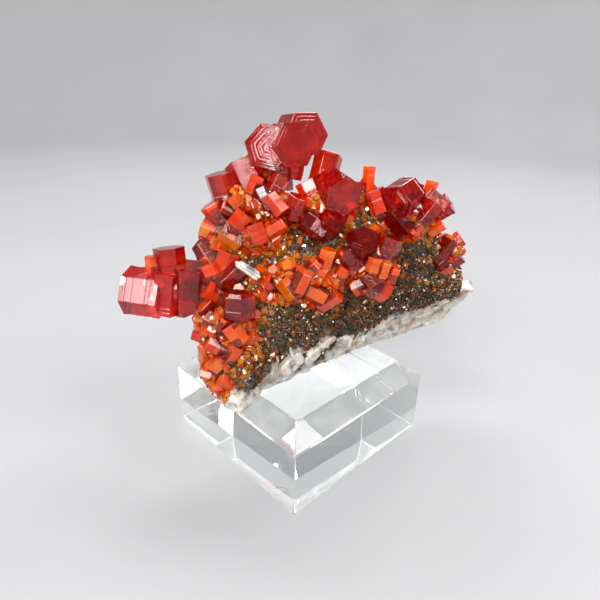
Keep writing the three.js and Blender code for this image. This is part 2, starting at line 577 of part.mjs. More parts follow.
      { at: [-19.4, 4.6, 38.4], width: 6.4, height: 5.6, heading: 120, rise: 25, spin: 0, terraces: 1 },
      { at: [-16.0, 5.6, 34.8], width: 5.8, height: 5.2, heading: 85, rise: 0, spin: -3 },
      { at: [-20.6, 3.0, 33.8], width: 5.2, height: 5.0, heading: 150, rise: -10, spin: -20 },
    ],
    crust: { count: 3, seed: 3395 },
  },
};

// The crust crystals stand out from the roots, each leaned a little its own way. Most are small.

const CRUST_LIFT = 0.1;
const CRUST_LEAN = 0.5;
const CRUST_LENGTH = [0.9, 1.4];
const CRUST_SMALLNESS = 1.5;
const CRUST_LOWEST = -0.8;
const HEXAGON_TURN = 60;

function crustCrystals(roots, { count, seed }, grow) {
  const random = randomFrom(seed);
  const notBelow = (at, out) => out.z > CRUST_LOWEST;
  return placesOn(roots, count, random, notBelow).map(({ at, out }) => {
    const width = THREE.MathUtils.lerp(...CRUST_WIDTH, random() ** CRUST_SMALLNESS);
    const lean = new THREE.Vector3(random() - 0.5, random() - 0.5, random() - 0.5);
    const axis = out.clone().addScaledVector(lean, 2 * CRUST_LEAN).normalize();
    const height = width * THREE.MathUtils.lerp(...CRUST_LENGTH, random());
    const place = at.clone().addScaledVector(axis, CRUST_LIFT * width);
    return solidFrom(prism(width + 2 * grow, height + 2 * grow)
      .rotateZ(radians(HEXAGON_TURN * random()))
      .applyQuaternion(new THREE.Quaternion().setFromUnitVectors(UP, axis))
      .translate(...place));
  });
}

function cluster({ roots, crystals, crust }, grow = 0) {
  const bareRoots = joined(roots.map((shape) => root(shape)));
  return joined([
    ...roots.map((shape) => root(shape, grow)),
    ...crystals.map((shape) => crystal(shape, grow)),
    ...crustCrystals(bareRoots, crust, grow),
  ]);
}

// Assembly

const specimen = new THREE.Group();
specimen.add(part("acrylic_block", displayBlock(), MATERIALS.acrylic));

const bareMatrix = matrixBody();
const matrix = joined([bareMatrix, ...druseGrains(bareMatrix)]).subtract(displayBlock(REST_GAP));
specimen.add(part("barite_matrix", mainBody(matrix), MATERIALS.barite));

let taken = joined([
  matrix,
  matrixBody(CLEARANCE),
  ...druseGrains(bareMatrix, CLEARANCE),
  displayBlock(CLEARANCE),
]);
for (const [name, shape] of Object.entries(CLUSTERS)) {
  specimen.add(part(name, mainBody(cluster(shape).subtract(taken)), MATERIALS.vanadinite));
  taken = taken.add(cluster(shape, CLEARANCE));
}

export default specimen;
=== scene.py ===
"""Vanadinite on barite, on a clear display block: the visual model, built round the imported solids."""

import json
import logging
import math
import random
from dataclasses import dataclass
from enum import Enum

import bmesh
import bpy
import numpy as np
from mathutils import Matrix, Vector, noise

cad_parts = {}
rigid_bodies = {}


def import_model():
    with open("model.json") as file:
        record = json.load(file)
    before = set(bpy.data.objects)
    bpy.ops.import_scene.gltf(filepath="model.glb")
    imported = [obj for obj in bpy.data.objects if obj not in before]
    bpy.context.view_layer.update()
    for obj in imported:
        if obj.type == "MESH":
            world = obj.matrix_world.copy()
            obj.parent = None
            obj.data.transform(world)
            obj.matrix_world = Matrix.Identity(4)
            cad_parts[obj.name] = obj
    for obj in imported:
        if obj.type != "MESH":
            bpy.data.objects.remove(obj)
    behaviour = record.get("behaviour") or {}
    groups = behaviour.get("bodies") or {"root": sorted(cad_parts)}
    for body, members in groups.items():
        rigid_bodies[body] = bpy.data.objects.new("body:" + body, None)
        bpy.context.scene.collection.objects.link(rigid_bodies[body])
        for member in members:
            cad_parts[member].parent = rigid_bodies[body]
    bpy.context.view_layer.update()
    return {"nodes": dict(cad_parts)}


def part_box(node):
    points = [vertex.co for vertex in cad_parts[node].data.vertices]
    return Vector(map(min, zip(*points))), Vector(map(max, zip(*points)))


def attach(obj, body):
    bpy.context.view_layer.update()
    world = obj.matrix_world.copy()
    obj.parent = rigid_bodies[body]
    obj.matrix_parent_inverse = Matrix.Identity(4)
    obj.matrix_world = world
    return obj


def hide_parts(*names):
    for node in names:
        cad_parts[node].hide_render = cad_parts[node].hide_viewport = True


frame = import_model()

MM = 0.001
BODY = "root"
Point = tuple[float, float, float]
Colour = tuple[float, float, float]
log = logging.getLogger("specimen")


class Slot(Enum):
    """The material slots of the record that the pieces take their finish from."""

    ACRYLIC = "acrylic"
    BARITE = "barite"
    VANADINITE = "vanadinite"


class Zone(Enum):
    """The attributes of the growing bed that say where each kind of small crystal grows."""

    DARK = "dark_zone"
    AMBER = "amber_zone"
    RED = "red_zone"
    PALE = "pale_zone"


TINT = "tint"
GROWTH = "growth"
DRUSE = "druse"


# ---- Meshes and objects


def link(mesh: bpy.types.Mesh, name: str) -> bpy.types.Object:
    """Puts a mesh in the scene as an object at the origin.

    Args:
        mesh: The mesh, with its place in its vertices.
        name: The name of the object and of the mesh.

    Returns:
        The new object.
    """
    mesh.name = name
    piece = bpy.data.objects.new(name, mesh)
    bpy.context.scene.collection.objects.link(piece)
    return piece


def baked(piece: bpy.types.Object, name: str) -> bpy.types.Object:
    """Turns an object with its modifiers into a plain object, and removes the first one.

    Args:
        piece: The object with live modifiers.
        name: The name of the plain object.

    Returns:
        The plain object.
    """
    depsgraph = bpy.context.evaluated_depsgraph_get()
    mesh = bpy.data.meshes.new_from_object(
        piece.evaluated_get(depsgraph), preserve_all_data_layers=True, depsgraph=depsgraph
    )
    old = piece.data
    bpy.data.objects.remove(piece)
    bpy.data.meshes.remove(old)
    return link(mesh, name)


def mesh_from(points: list[Vector], faces: list[list[int]], name: str) -> bpy.types.Mesh:
    """Makes a mesh from corners in millimetres.

    Args:
        points: The corners, in millimetres.
        faces: The corners of each face, by number.
        name: The name of the mesh.

    Returns:
        The mesh, in metres.
    """
    mesh = bpy.data.meshes.new(name)
    mesh.from_pydata([point * MM for point in points], [], faces)
    mesh.validate()
    return mesh


def tube_faces(rings: int, count: int, closed: bool = True) -> list[list[int]]:
    """Joins rings of corners, listed from the lowest ring up, into the faces of a tube.

    Args:
        rings: How many rings there are.
        count: How many corners each ring has, counterclockwise from above.
        closed: Whether one flat face closes each end.

    Returns:
        The corners of each face, by number.
    """
    faces = []
    for row in range(rings - 1):
        for k in range(count):
            a, b = row * count + k, row * count + (k + 1) % count
            faces.append([a, b, b + count, a + count])
    if closed:
        faces.append(list(reversed(range(count))))
        faces.append(list(range((rings - 1) * count, rings * count)))
    return faces


def coordinates(mesh: bpy.types.Mesh) -> np.ndarray:
    """Reads the corners of a mesh in millimetres, one row each."""
    flat = np.zeros(len(mesh.vertices) * 3, np.float32)
    mesh.vertices.foreach_get("co", flat)
    return flat.reshape(-1, 3).astype(float) / MM


def store(mesh: bpy.types.Mesh, name: str, values: np.ndarray) -> None:
    """Keeps one number for each corner of a mesh as a named attribute."""
    layer = mesh.attributes.get(name) or mesh.attributes.new(name, "FLOAT", "POINT")
    layer.data.foreach_set("value", np.asarray(values, np.float32))


def store_vectors(mesh: bpy.types.Mesh, name: str, values: list[Point]) -> None:
    """Keeps three numbers for each corner of a mesh as a named attribute."""
    layer = mesh.attributes.new(name, "FLOAT_VECTOR", "POINT")
    layer.data.foreach_set("vector", np.asarray(values, np.float32).ravel())


def merged_copy(node: str) -> bpy.types.Mesh:
    """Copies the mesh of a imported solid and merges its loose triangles.

    Args:
        node: The name of the solid.

    Returns:
        The merged copy.
    """
    mesh = frame["nodes"][node].data.copy()
    shape = bmesh.new()
    shape.from_mesh(mesh)
    bmesh.ops.remove_doubles(shape, verts=shape.verts, dist=0.002 * MM)
    shape.to_mesh(mesh)
    shape.free()
    mesh.materials.clear()
    return mesh


def remeshed(piece: bpy.types.Object, voxel: float, name: str) -> bpy.types.Object:
    """Makes one closed skin of an object's shells.

    Args:
        piece: The object, which is used up.
        voxel: The size of the grid, in millimetres.
        name: The name of the result.

    Returns:
        The object with the new skin.
    """
    modifier = piece.modifiers.new("skin", "REMESH")
    modifier.mode = "VOXEL"
    modifier.voxel_size = voxel * MM
    modifier.adaptivity = 0
    return baked(piece, name)


def join(pieces: list[bpy.types.Object], name: str) -> bpy.types.Object:
    """Joins objects into one mesh and removes them.

    Args:
        pieces: The objects, all at the origin.
        name: The name of the result.

    Returns:
        The joined object.
    """
    whole = bmesh.new()
    for piece in pieces:
        whole.from_mesh(piece.data)
    mesh = bpy.data.meshes.new(name)
    whole.to_mesh(mesh)
    whole.free()
    for piece in pieces:
        old = piece.data
        bpy.data.objects.remove(piece)
        bpy.data.meshes.remove(old)
    return link(mesh, name)


def finish_piece(
    piece: bpy.types.Object, material: bpy.types.Material, nodes: tuple[str, ...] = ()
) -> None:
    """Gives a piece its material, its body and the solids that it stands for.

    Args:
        piece: The finished piece.
        material: Its material.
        nodes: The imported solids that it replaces.
    """
    piece.data.materials.clear()
    piece.data.materials.append(material)
    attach(piece, BODY)
    if nodes:
        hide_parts(*nodes)
    piece.data.calc_loop_triangles()
    log.info("%s: %d triangles", piece.name, len(piece.data.loop_triangles))


# ---- Shader groups and finishes


class Shader:
    """A node tree of a material or of a group, with short ways to add and join nodes."""

    def __init__(self, tree: bpy.types.NodeTree) -> None:
        """Keeps the tree that the nodes go into."""
        self.tree = tree

    def add(self, kind: str, **settings: object) -> bpy.types.Node:
        """Adds a node and sets its properties.

        Args:
            kind: The node's type.
            settings: Its properties by name.

        Returns:
            The node.
        """
        node = self.tree.nodes.new(kind)
        for key, value in settings.items():
            setattr(node, key, value)
        return node

    def join(self, source: bpy.types.NodeSocket, target: bpy.types.NodeSocket) -> None:
        """Joins an output to an input."""
        self.tree.links.new(source, target)

    def ramp(
        self, value: bpy.types.NodeSocket, stops: list[tuple[float, Colour]]
    ) -> bpy.types.NodeSocket:
        """Turns a number into a colour.

        Args:
            value: The number.
            stops: Places from 0 to 1, each with its colour.

        Returns:
            The colour.
        """
        node = self.add("ShaderNodeValToRGB")
        band = node.color_ramp
        while len(band.elements) < len(stops):
            band.elements.new(0.5)
        for element, (place, colour) in zip(band.elements, stops):
            element.position = place
            element.color = (*colour, 1.0)
        self.join(value, node.inputs["Fac"])
        return node.outputs["Color"]

    def use(self, group: bpy.types.NodeTree, **values: object) -> bpy.types.Node:
        """Places a node group with values or sockets for its inputs.

        Args:
            group: The group.
            values: Numbers, colours or sockets by the input's name.

        Returns:
            The group's node.
        """
        node = self.add("ShaderNodeGroup", node_tree=group)
        for key, value in values.items():
            socket = node.inputs[key.replace("_", " ")]
            if isinstance(value, bpy.types.NodeSocket):
                self.join(value, socket)
            else:
                socket.default_value = value
        return node


def new_group(name: str, inputs: dict[str, float], outputs: dict[str, str]) -> bpy.types.NodeTree:
    """Makes an empty shader group.

    Args:
        name: Its name.
        inputs: Its number inputs with their usual values.
        outputs: Its outputs with their socket types.

    Returns:
        The group.
    """
    group = bpy.data.node_groups.new(name, "ShaderNodeTree")
    for key, value in inputs.items():
        socket = group.interface.new_socket(name=key, in_out="INPUT", socket_type="NodeSocketFloat")
        socket.default_value = value
    for key, kind in outputs.items():
        group.interface.new_socket(name=key, in_out="OUTPUT", socket_type=kind)
    return group


def cloud_group() -> bpy.types.NodeTree:
    """Makes the group that gives a soft mask of clouds in the object's own space."""
    group = new_group("clouds", {"Scale": 300.0, "Detail": 4.0, "Low": 0.35, "High": 0.65},
                      {"Mask": "NodeSocketFloat"})
    nodes = Shader(group)
    entry, leave = nodes.add("NodeGroupInput"), nodes.add("NodeGroupOutput")
    place = nodes.add("ShaderNodeTexCoord")
    cloud = nodes.add("ShaderNodeTexNoise")
    spread = nodes.add("ShaderNodeMapRange")
    nodes.join(place.outputs["Object"], cloud.inputs["Vector"])
    nodes.join(entry.outputs["Scale"], cloud.inputs["Scale"])
    nodes.join(entry.outputs["Detail"], cloud.inputs["Detail"])
    nodes.join(cloud.outputs["Fac"], spread.inputs["Value"])
    nodes.join(entry.outputs["Low"], spread.inputs["From Min"])
    nodes.join(entry.outputs["High"], spread.inputs["From Max"])
    nodes.join(spread.outputs["Result"], leave.inputs["Mask"])
    return group


def relief_group() -> bpy.types.NodeTree:
    """Makes the group that gives a fine uneven surface as a height and a normal."""
    group = new_group("relief", {"Scale": 900.0, "Detail": 3.0, "Strength": 0.3, "Depth": 0.0001},
                      {"Height": "NodeSocketFloat", "Normal": "NodeSocketVector"})
    nodes = Shader(group)
    entry, leave = nodes.add("NodeGroupInput"), nodes.add("NodeGroupOutput")
    place = nodes.add("ShaderNodeTexCoord")
    grain = nodes.add("ShaderNodeTexNoise")
    bump = nodes.add("ShaderNodeBump")
    nodes.join(place.outputs["Object"], grain.inputs["Vector"])
    nodes.join(entry.outputs["Scale"], grain.inputs["Scale"])
    nodes.join(entry.outputs["Detail"], grain.inputs["Detail"])
    nodes.join(grain.outputs["Fac"], bump.inputs["Height"])
    nodes.join(entry.outputs["Strength"], bump.inputs["Strength"])
    nodes.join(entry.outputs["Depth"], bump.inputs["Distance"])
    nodes.join(grain.outputs["Fac"], leave.inputs["Height"])
    nodes.join(bump.outputs["Normal"], leave.inputs["Normal"])
    return group


def growth_group() -> bpy.types.NodeTree:
    """Makes the group that draws growth lines along and across a crystal as a mask and a normal."""
    group = new_group("growth_lines", {"Scale": 2.4, "Strength": 0.3},
                      {"Mask": "NodeSocketFloat", "Normal": "NodeSocketVector"})
    nodes = Shader(group)
    entry, leave = nodes.add("NodeGroupInput"), nodes.add("NodeGroupOutput")
    place = nodes.add("ShaderNodeAttribute", attribute_name=GROWTH)
    lines = nodes.add("ShaderNodeTexNoise")
    lines.inputs["Detail"].default_value = 3.0
    spread = nodes.add("ShaderNodeMapRange")
    spread.inputs["From Min"].default_value, spread.inputs["From Max"].default_value = 0.35, 0.65
    bump = nodes.add("ShaderNodeBump")
    bump.inputs["Distance"].default_value = 0.05 * MM
    nodes.join(place.outputs["Vector"], lines.inputs["Vector"])
    nodes.join(entry.outputs["Scale"], lines.inputs["Scale"])
    nodes.join(lines.outputs["Fac"], spread.inputs["Value"])
    nodes.join(spread.outputs["Result"], leave.inputs["Mask"])
    nodes.join(lines.outputs["Fac"], bump.inputs["Height"])
    nodes.join(entry.outputs["Strength"], bump.inputs["Strength"])
    nodes.join(bump.outputs["Normal"], leave.inputs["Normal"])
    return group


# The colour sockets of a Mix node, which have the same names as its number sockets.
MIX_FIRST = 6
MIX_SECOND = 7
MIX_RESULT = 2

CLOUDS = cloud_group()
RELIEF = relief_group()
GROWTH_LINES = growth_group()


def new_material(name: str) -> tuple[bpy.types.Material, Shader, bpy.types.Node]:
    """Makes a material with one plain surface shader.

    Args:
        name: Its name.

    Returns:
        The material, its nodes and the surface shader.
    """
    material = bpy.data.materials.new(name)
    material.use_nodes = True
    return material, Shader(material.node_tree), material.node_tree.nodes["Principled BSDF"]


@dataclass(frozen=True)
class CrystalFinish:
    """Glassy vanadinite, deep red where a crystal is large and orange where it is small.

    The shift says how far the clouds inside a crystal move its colour along the stops. The lines are its
    growth lines, and the clouds follow broad bands of them, at the share of their scale that banding gives.
    """

    name: str
    stops: tuple[tuple[float, Colour], ...]
    roughness: tuple[float, float] = (0.01, 0.08)
    clearness: float = 0.58
    glow: float = 0.8
    glow_depth: float = 1.2
    index: float = 1.7
    relief: float = 0.6
    lines: float = 2.4
    banding: float = 0.35
    shift: tuple[float, float] = (-0.12, 0.34)
    glow_spread: Colour = (1.0, 0.22, 0.08)

    def make(self) -> bpy.types.Material:
        """Builds the material."""
        material, nodes, surface = new_material(self.name)
        tint = nodes.add("ShaderNodeAttribute", attribute_name=TINT)
        clouds = nodes.use(CLOUDS, Scale=420.0, Detail=5.0, Low=0.3, High=0.7)
        shifted = nodes.add("ShaderNodeMapRange", clamp=True)
        shifted.inputs["To Min"].default_value, shifted.inputs["To Max"].default_value = self.shift
        bands = nodes.use(GROWTH_LINES, Scale=self.lines * self.banding, Strength=0.0)
        banded = nodes.add("ShaderNodeMath", operation="MULTIPLY")
        nodes.join(clouds.outputs["Mask"], banded.inputs[0])
        nodes.join(bands.outputs["Mask"], banded.inputs[1])
        nodes.join(banded.outputs["Value"], shifted.inputs["Value"])
        total = nodes.add("ShaderNodeMath", operation="ADD", use_clamp=True)
        nodes.join(tint.outputs["Fac"], total.inputs[0])
        nodes.join(shifted.outputs["Result"], total.inputs[1])
        nodes.join(nodes.ramp(total.outputs["Value"], list(self.stops)), surface.inputs["Base Color"])
        smudges = nodes.use(CLOUDS, Scale=900.0, Detail=3.0, Low=0.35, High=0.75)
        rough = nodes.add("ShaderNodeMapRange")
        rough.inputs["To Min"].default_value, rough.inputs["To Max"].default_value = self.roughness
        nodes.join(smudges.outputs["Mask"], rough.inputs["Value"])
        nodes.join(rough.outputs["Result"], surface.inputs["Roughness"])
        lines = nodes.use(GROWTH_LINES, Scale=self.lines, Strength=self.relief)
        nodes.join(lines.outputs["Normal"], surface.inputs["Normal"])
        surface.inputs["IOR"].default_value = self.index
        surface.inputs["Transmission Weight"].default_value = self.clearness
        surface.inputs["Subsurface Weight"].default_value = self.glow
        surface.inputs["Subsurface Radius"].default_value = self.glow_spread
        surface.inputs["Subsurface Scale"].default_value = self.glow_depth * MM
        return material


@dataclass(frozen=True)
class RockFinish:
    """Barite: white and tan where it is broken, dark brown where the druse covers it."""

    name: str = "barite"
    pale: Colour = (0.41, 0.38, 0.34)
    tan: Colour = (0.25, 0.155, 0.105)
    grey: Colour = (0.11, 0.10, 0.095)
    dark: Colour = (0.012, 0.009, 0.006)
    brown: Colour = (0.10, 0.05, 0.02)
    roughness: tuple[float, float] = (0.24, 0.6)
    index: float = 1.64
    glow: float = 0.12
    glow_spread: Colour = (1.0, 0.8, 0.6)
    glow_depth: float = 0.6

    def make(self) -> bpy.types.Material:
        """Builds the material."""
        material, nodes, surface = new_material(self.name)
        cover = nodes.add("ShaderNodeAttribute", attribute_name=DRUSE)
        stains = nodes.use(CLOUDS, Scale=260.0, Detail=6.0, Low=0.36, High=0.64)
        specks = nodes.use(CLOUDS, Scale=1500.0, Detail=4.0, Low=0.42, High=0.62)
        stone_stops = [(0.0, self.grey), (0.36, self.pale), (0.56, self.pale), (1.0, self.tan)]
        crust_stops = [(0.0, self.dark), (0.7, self.dark), (1.0, self.brown)]
        mix = nodes.add("ShaderNodeMix", data_type="RGBA")
        nodes.join(cover.outputs["Fac"], mix.inputs["Factor"])
        nodes.join(nodes.ramp(stains.outputs["Mask"], stone_stops), mix.inputs[MIX_FIRST])
        nodes.join(nodes.ramp(specks.outputs["Mask"], crust_stops), mix.inputs[MIX_SECOND])
        nodes.join(mix.outputs[MIX_RESULT], surface.inputs["Base Color"])
        rough = nodes.add("ShaderNodeMapRange")
        rough.inputs["To Min"].default_value, rough.inputs["To Max"].default_value = self.roughness
        nodes.join(specks.outputs["Mask"], rough.inputs["Value"])
        nodes.join(rough.outputs["Result"], surface.inputs["Roughness"])
        bumps = nodes.use(RELIEF, Scale=1800.0, Detail=6.0, Strength=0.45, Depth=0.0002)
        nodes.join(bumps.outputs["Normal"], surface.inputs["Normal"])
        surface.inputs["IOR"].default_value = self.index
        surface.inputs["Subsurface Weight"].default_value = self.glow
        surface.inputs["Subsurface Radius"].default_value = self.glow_spread
        surface.inputs["Subsurface Scale"].default_value = self.glow_depth * MM
        return material


@dataclass(frozen=True)
class AcrylicFinish:
    """Clear cast acrylic with faint wipe marks."""

    name: str = "acrylic"
    colour: Colour = (0.965, 0.985, 0.98)
    index: float = 1.49
    clearness: float = 0.965
    roughness: tuple[float, float] = (0.0, 0.09)

    def make(self) -> bpy.types.Material:
        """Builds the material."""
        material, nodes, surface = new_material(self.name)
        marks = nodes.use(CLOUDS, Scale=160.0, Detail=8.0, Low=0.5, High=0.8)
        rough = nodes.add("ShaderNodeMapRange")
        rough.inputs["To Min"].default_value, rough.inputs["To Max"].default_value = self.roughness
        nodes.join(marks.outputs["Mask"], rough.inputs["Value"])
        nodes.join(rough.outputs["Result"], surface.inputs["Roughness"])
        surface.inputs["Base Color"].default_value = (*self.colour, 1.0)
        surface.inputs["IOR"].default_value = self.index
        surface.inputs["Transmission Weight"].default_value = self.clearness
        return material


@dataclass(frozen=True)
class PlainFinish:
    """A mottled finish between two colours, for the stage and the druse."""

    name: str
    low: Colour
    high: Colour
    roughness: float
    scale: float = 40.0
    index: float = 1.5

    def make(self) -> bpy.types.Material:
        """Builds the material."""
        material, nodes, surface = new_material(self.name)
        clouds = nodes.use(CLOUDS, Scale=self.scale, Detail=3.0, Low=0.3, High=0.7)
        nodes.join(nodes.ramp(clouds.outputs["Mask"], [(0.0, self.low), (1.0, self.high)]),
                   surface.inputs["Base Color"])
        surface.inputs["Roughness"].default_value = self.roughness
        surface.inputs["IOR"].default_value = self.index
        return material


# ---- Vanadinite crystals

SIDES = 6

# The small forms of every crystal, in millimetres or as shares. A pair with a width is a least value and
# what each millimetre of the crystal's width adds to it.
STEP_RISE = 0.35
STEP_SHRINK = 0.8
STEP_SPREAD = 0.1
UNEVENNESS = 0.12
CHAMFER_BY_WIDTH = (0.03, 0.008)
GROOVE_BY_WIDTH = (0.035, 0.004)
GROOVE_SPREAD = (0.2, 1.6)
GROOVE_REACH = 0.42
LAYER_HEIGHTS = (1.1, 2.2)
BEVEL_SHARE = 0.8
LEAST_RISE = 0.01
LEAST_CHANGE = 0.004

# How far apart in the pattern of growth lines two crystals may lie, so that each has its own lines.
GROWTH_SPREAD = 50


@dataclass(frozen=True)
class Crystal:
    """One six-sided prism: its middle, its size in millimetres and its lean in degrees.

    The spin turns it about its own axis, and the axis then leans to the heading and the rise. Each end
    carries as many growth steps as given, each one narrower than the last.
    """

    at: Point
    width: float
    height: float
    heading: float
    rise: float
    spin: float
    steps: int = 0

    def turn(self) -> Matrix:
        """Gives the rotation from the crystal's own axes to the specimen's."""
        return (
            Matrix.Rotation(math.radians(self.heading), 3, "Z")
            @ Matrix.Rotation(math.radians(90 - self.rise), 3, "Y")
            @ Matrix.Rotation(math.radians(self.spin), 3, "Z")
        )

    def covers(self, points: np.ndarray, margin: float) -> np.ndarray:
        """Says which points are inside the crystal or within a margin of it.

        Args:
            points: Points in millimetres, one row each.
            margin: How far outside still counts, in millimetres.

        Returns:
            True for each point that is covered.
        """
        local = (points - np.array(self.at)) @ np.array(self.turn())
        inside = np.abs(local[:, 2]) < self.height / 2 + margin
        for side in range(SIDES // 2):
            angle = 2 * math.pi / SIDES * side
            reach = np.abs(local[:, 0] * math.cos(angle) + local[:, 1] * math.sin(angle))
            inside &= reach < self.width / 2 * math.cos(math.pi / SIDES) + margin
        return inside


def outline(apothem: float, uneven: float, chamfer: float, dice: random.Random) -> list[Vector]:
    """Draws a six-sided outline with slightly uneven sides and small chamfers at its corners.

    Args:
        apothem: The mean distance of a side from the middle.
        uneven: How much that distance varies, as a share of it.
        chamfer: How far along each side the corner is cut.
        dice: The source of the variation.

    Returns:
        Twelve points round the middle, counterclockwise.
    """
    reach = [apothem * (1 - uneven * dice.random()) for _ in range(SIDES)]
    corners = []
    for side in range(SIDES):
        lines = []
        for k in (side, side + 1):
            angle = 2 * math.pi / SIDES * k
            normal = Vector((math.cos(angle), math.sin(angle)))
            foot = normal * reach[k % SIDES]
            along = Vector((-normal.y, normal.x))
            lines += [foot - along * apothem, foot + along * apothem]
        corners.append(intersect_point(*lines))
    points = []
    for side, corner in enumerate(corners):
        before, after = corners[side - 1], corners[(side + 1) % SIDES]
        points.append(corner + (before - corner).normalized() * chamfer)
        points.append(corner + (after - corner).normalized() * chamfer)
    return points


def intersect_point(a: Vector, b: Vector, c: Vector, d: Vector) -> Vector:
    """Gives the point where the line through a and b meets the line through c and d."""
    first, second = b - a, d - c
    share = (c - a).cross(second) / first.cross(second)
    return a + first * share


def side_profile(height: float, steps: int, layers: int, groove: float, bevel: float,
                 radius: float, dice: random.Random) -> list[tuple[float, float]]:
    """Lists the rings of a crystal from its lower end to its upper one, without those that add nothing.

    Args:
        height: The height of the prism.
        steps: How many growth steps each end carries.
        layers: How many growth layers show on the side faces.
        groove: How far neighbouring layers stand apart.
        bevel: The size of the bevel at the ends.
        radius: The distance from the axis to a side, which turns lengths into shares of it.
        dice: The source of the variation.

    Returns:
        Pairs of a height along the axis and a scale of the outline.
    """
    ends = []
    for _ in range(2):
        rings = []
        share = 1.0
        for step in range(steps + 1):
            top = height / 2 + step * STEP_RISE / max(steps, 1)
            rings.append((top - bevel, share))
            rings.append((top, share - bevel / radius))
            share *= STEP_SHRINK + STEP_SPREAD * dice.random() if steps > 1 else STEP_SHRINK
            if step < steps:
                rings.append((top, share))
        ends.append(rings)
    sides = []
    scale = 1.0
    cuts = sorted(dice.uniform(-GROOVE_REACH, GROOVE_REACH) * height for _ in range(layers - 1))
    for cut in cuts:
        sides.append((cut - groove, scale))
        scale = 1.0 - groove / radius * dice.uniform(*GROOVE_SPREAD)
        sides.append((cut + groove / 2, scale))
    lower, upper = [(-level, share) for level, share in reversed(ends[0])], ends[1]
    rings = lower + sides + upper
    profile = [rings[0]]
    for level, share in rings[1:]:
        last_level, last_share = profile[-1]
        if level > last_level + LEAST_RISE or abs(share - last_share) > LEAST_CHANGE:
            profile.append((max(level, last_level), share))
    return profile


def crystal_mesh(crystal: Crystal, dice: random.Random, name: str) -> bpy.types.Mesh:
    """Builds one crystal in its place.

    Args:
        crystal: The crystal.
        dice: The source of its small irregularities.
        name: The name of the mesh.

    Returns:
        The closed mesh.
    """
    apothem = crystal.width / 2 * math.cos(math.pi / SIDES)
    chamfer, groove = (
        least + more * crystal.width for least, more in (CHAMFER_BY_WIDTH, GROOVE_BY_WIDTH)
    )
    layers = 1 + round(crystal.height / dice.uniform(*LAYER_HEIGHTS))
    ring = outline(apothem, UNEVENNESS, chamfer, dice)
    profile = side_profile(crystal.height, crystal.steps, layers, groove, chamfer * BEVEL_SHARE,
                           apothem, dice)
    turn, at = crystal.turn(), Vector(crystal.at)
    count = len(ring)
    points, growth = [], []
    mark = GROWTH_SPREAD * dice.random()
    for level, scale in profile:
        points += [turn @ Vector((p.x * scale, p.y * scale, level)) + at for p in ring]
        growth += [(apothem * scale, level, mark)] * count
    faces = tube_faces(len(profile), count, closed=False)
    last = (len(profile) - 1) * count
    for k in range(count):
        n = (k + 1) % count
        faces.append([len(points), n, k])
        faces.append([len(points) + 1, last + k, last + n])
    for level, _ in (profile[0], profile[-1]):
        points.append(turn @ Vector((0, 0, level)) + at)
        growth.append((0.0, level, mark))
    mesh = mesh_from(points, faces, name)
    store_vectors(mesh, GROWTH, growth)
    return mesh


@dataclass(frozen=True)
class Root:
    """A lump of intergrown crystal that holds a cluster together: its middle and half sizes."""

    at: Point
    half: Point
    shrink: float = 0.9
    roughness: float = 0.12
    grain: float = 0.8

    def mesh(self, name: str) -> bpy.types.Mesh:
        """Builds the lump as a rough ball, a little smaller than the solid's.

        Args:
            name: The name of the mesh.

        Returns:
            The closed mesh.
        """
        ball = bmesh.new()
        bmesh.ops.create_icosphere(ball, subdivisions=3, radius=1.0)
        for vert in ball.verts:
            place = Vector(c * h * self.shrink for c, h in zip(vert.co, self.half))
            swell = 1 + self.roughness * noise.noise((place + Vector(self.at)) * self.grain)
            vert.co = (place * swell + Vector(self.at)) * MM
        mesh = bpy.data.meshes.new(name)
        ball.to_mesh(mesh)
        ball.free()
        return mesh

    def distance(self, points: np.ndarray) -> np.ndarray:
        """Gives about how far each point is outside the lump, in millimetres."""
        scaled = np.linalg.norm((points - np.array(self.at)) / np.array(self.half), axis=1)
        return (scaled - 1) * min(self.half)


# Tints run from deep red, at 0, to orange, at 1. A crystal is deeper the wider it is, and warmer near the
# spots, each with its radius in millimetres. The spots on the left flank, the lower left and the front row
# mark crystals of a more orange colour. Those on the right front and on the four back clusters are painted
# light: a brighter, more orange colour on crystals that the lamps leave dark. Faces above the bright tint
# have the bright finish.
WARMEST_TINT = 0.84
DEEPENING_WIDTH = 7.5
SPOT_WARMTH_AND_PAINTED_LIGHT = 0.5
TINT_SPREAD = (-0.25, 0.22)
ROOT_TINT = 0.75
BRIGHT_TINT = 0.3
WARM_AND_PAINTED_LIGHT_SPOTS = (
    ((-15.0, -3.0, 45.0), 9.0),
    ((-14.0, -14.0, 26.0), 11.0),
    ((0.0, -7.0, 38.0), 9.0),
    ((14.6, -3.8, 40.4), 7.0),
    ((-10.0, 10.0, 44.0), 9.0),
    ((4.6, 12.8, 37.0), 9.0),
    ((21.0, 15.0, 41.0), 8.0),
    ((-18.5, 4.4, 35.0), 8.0),
)


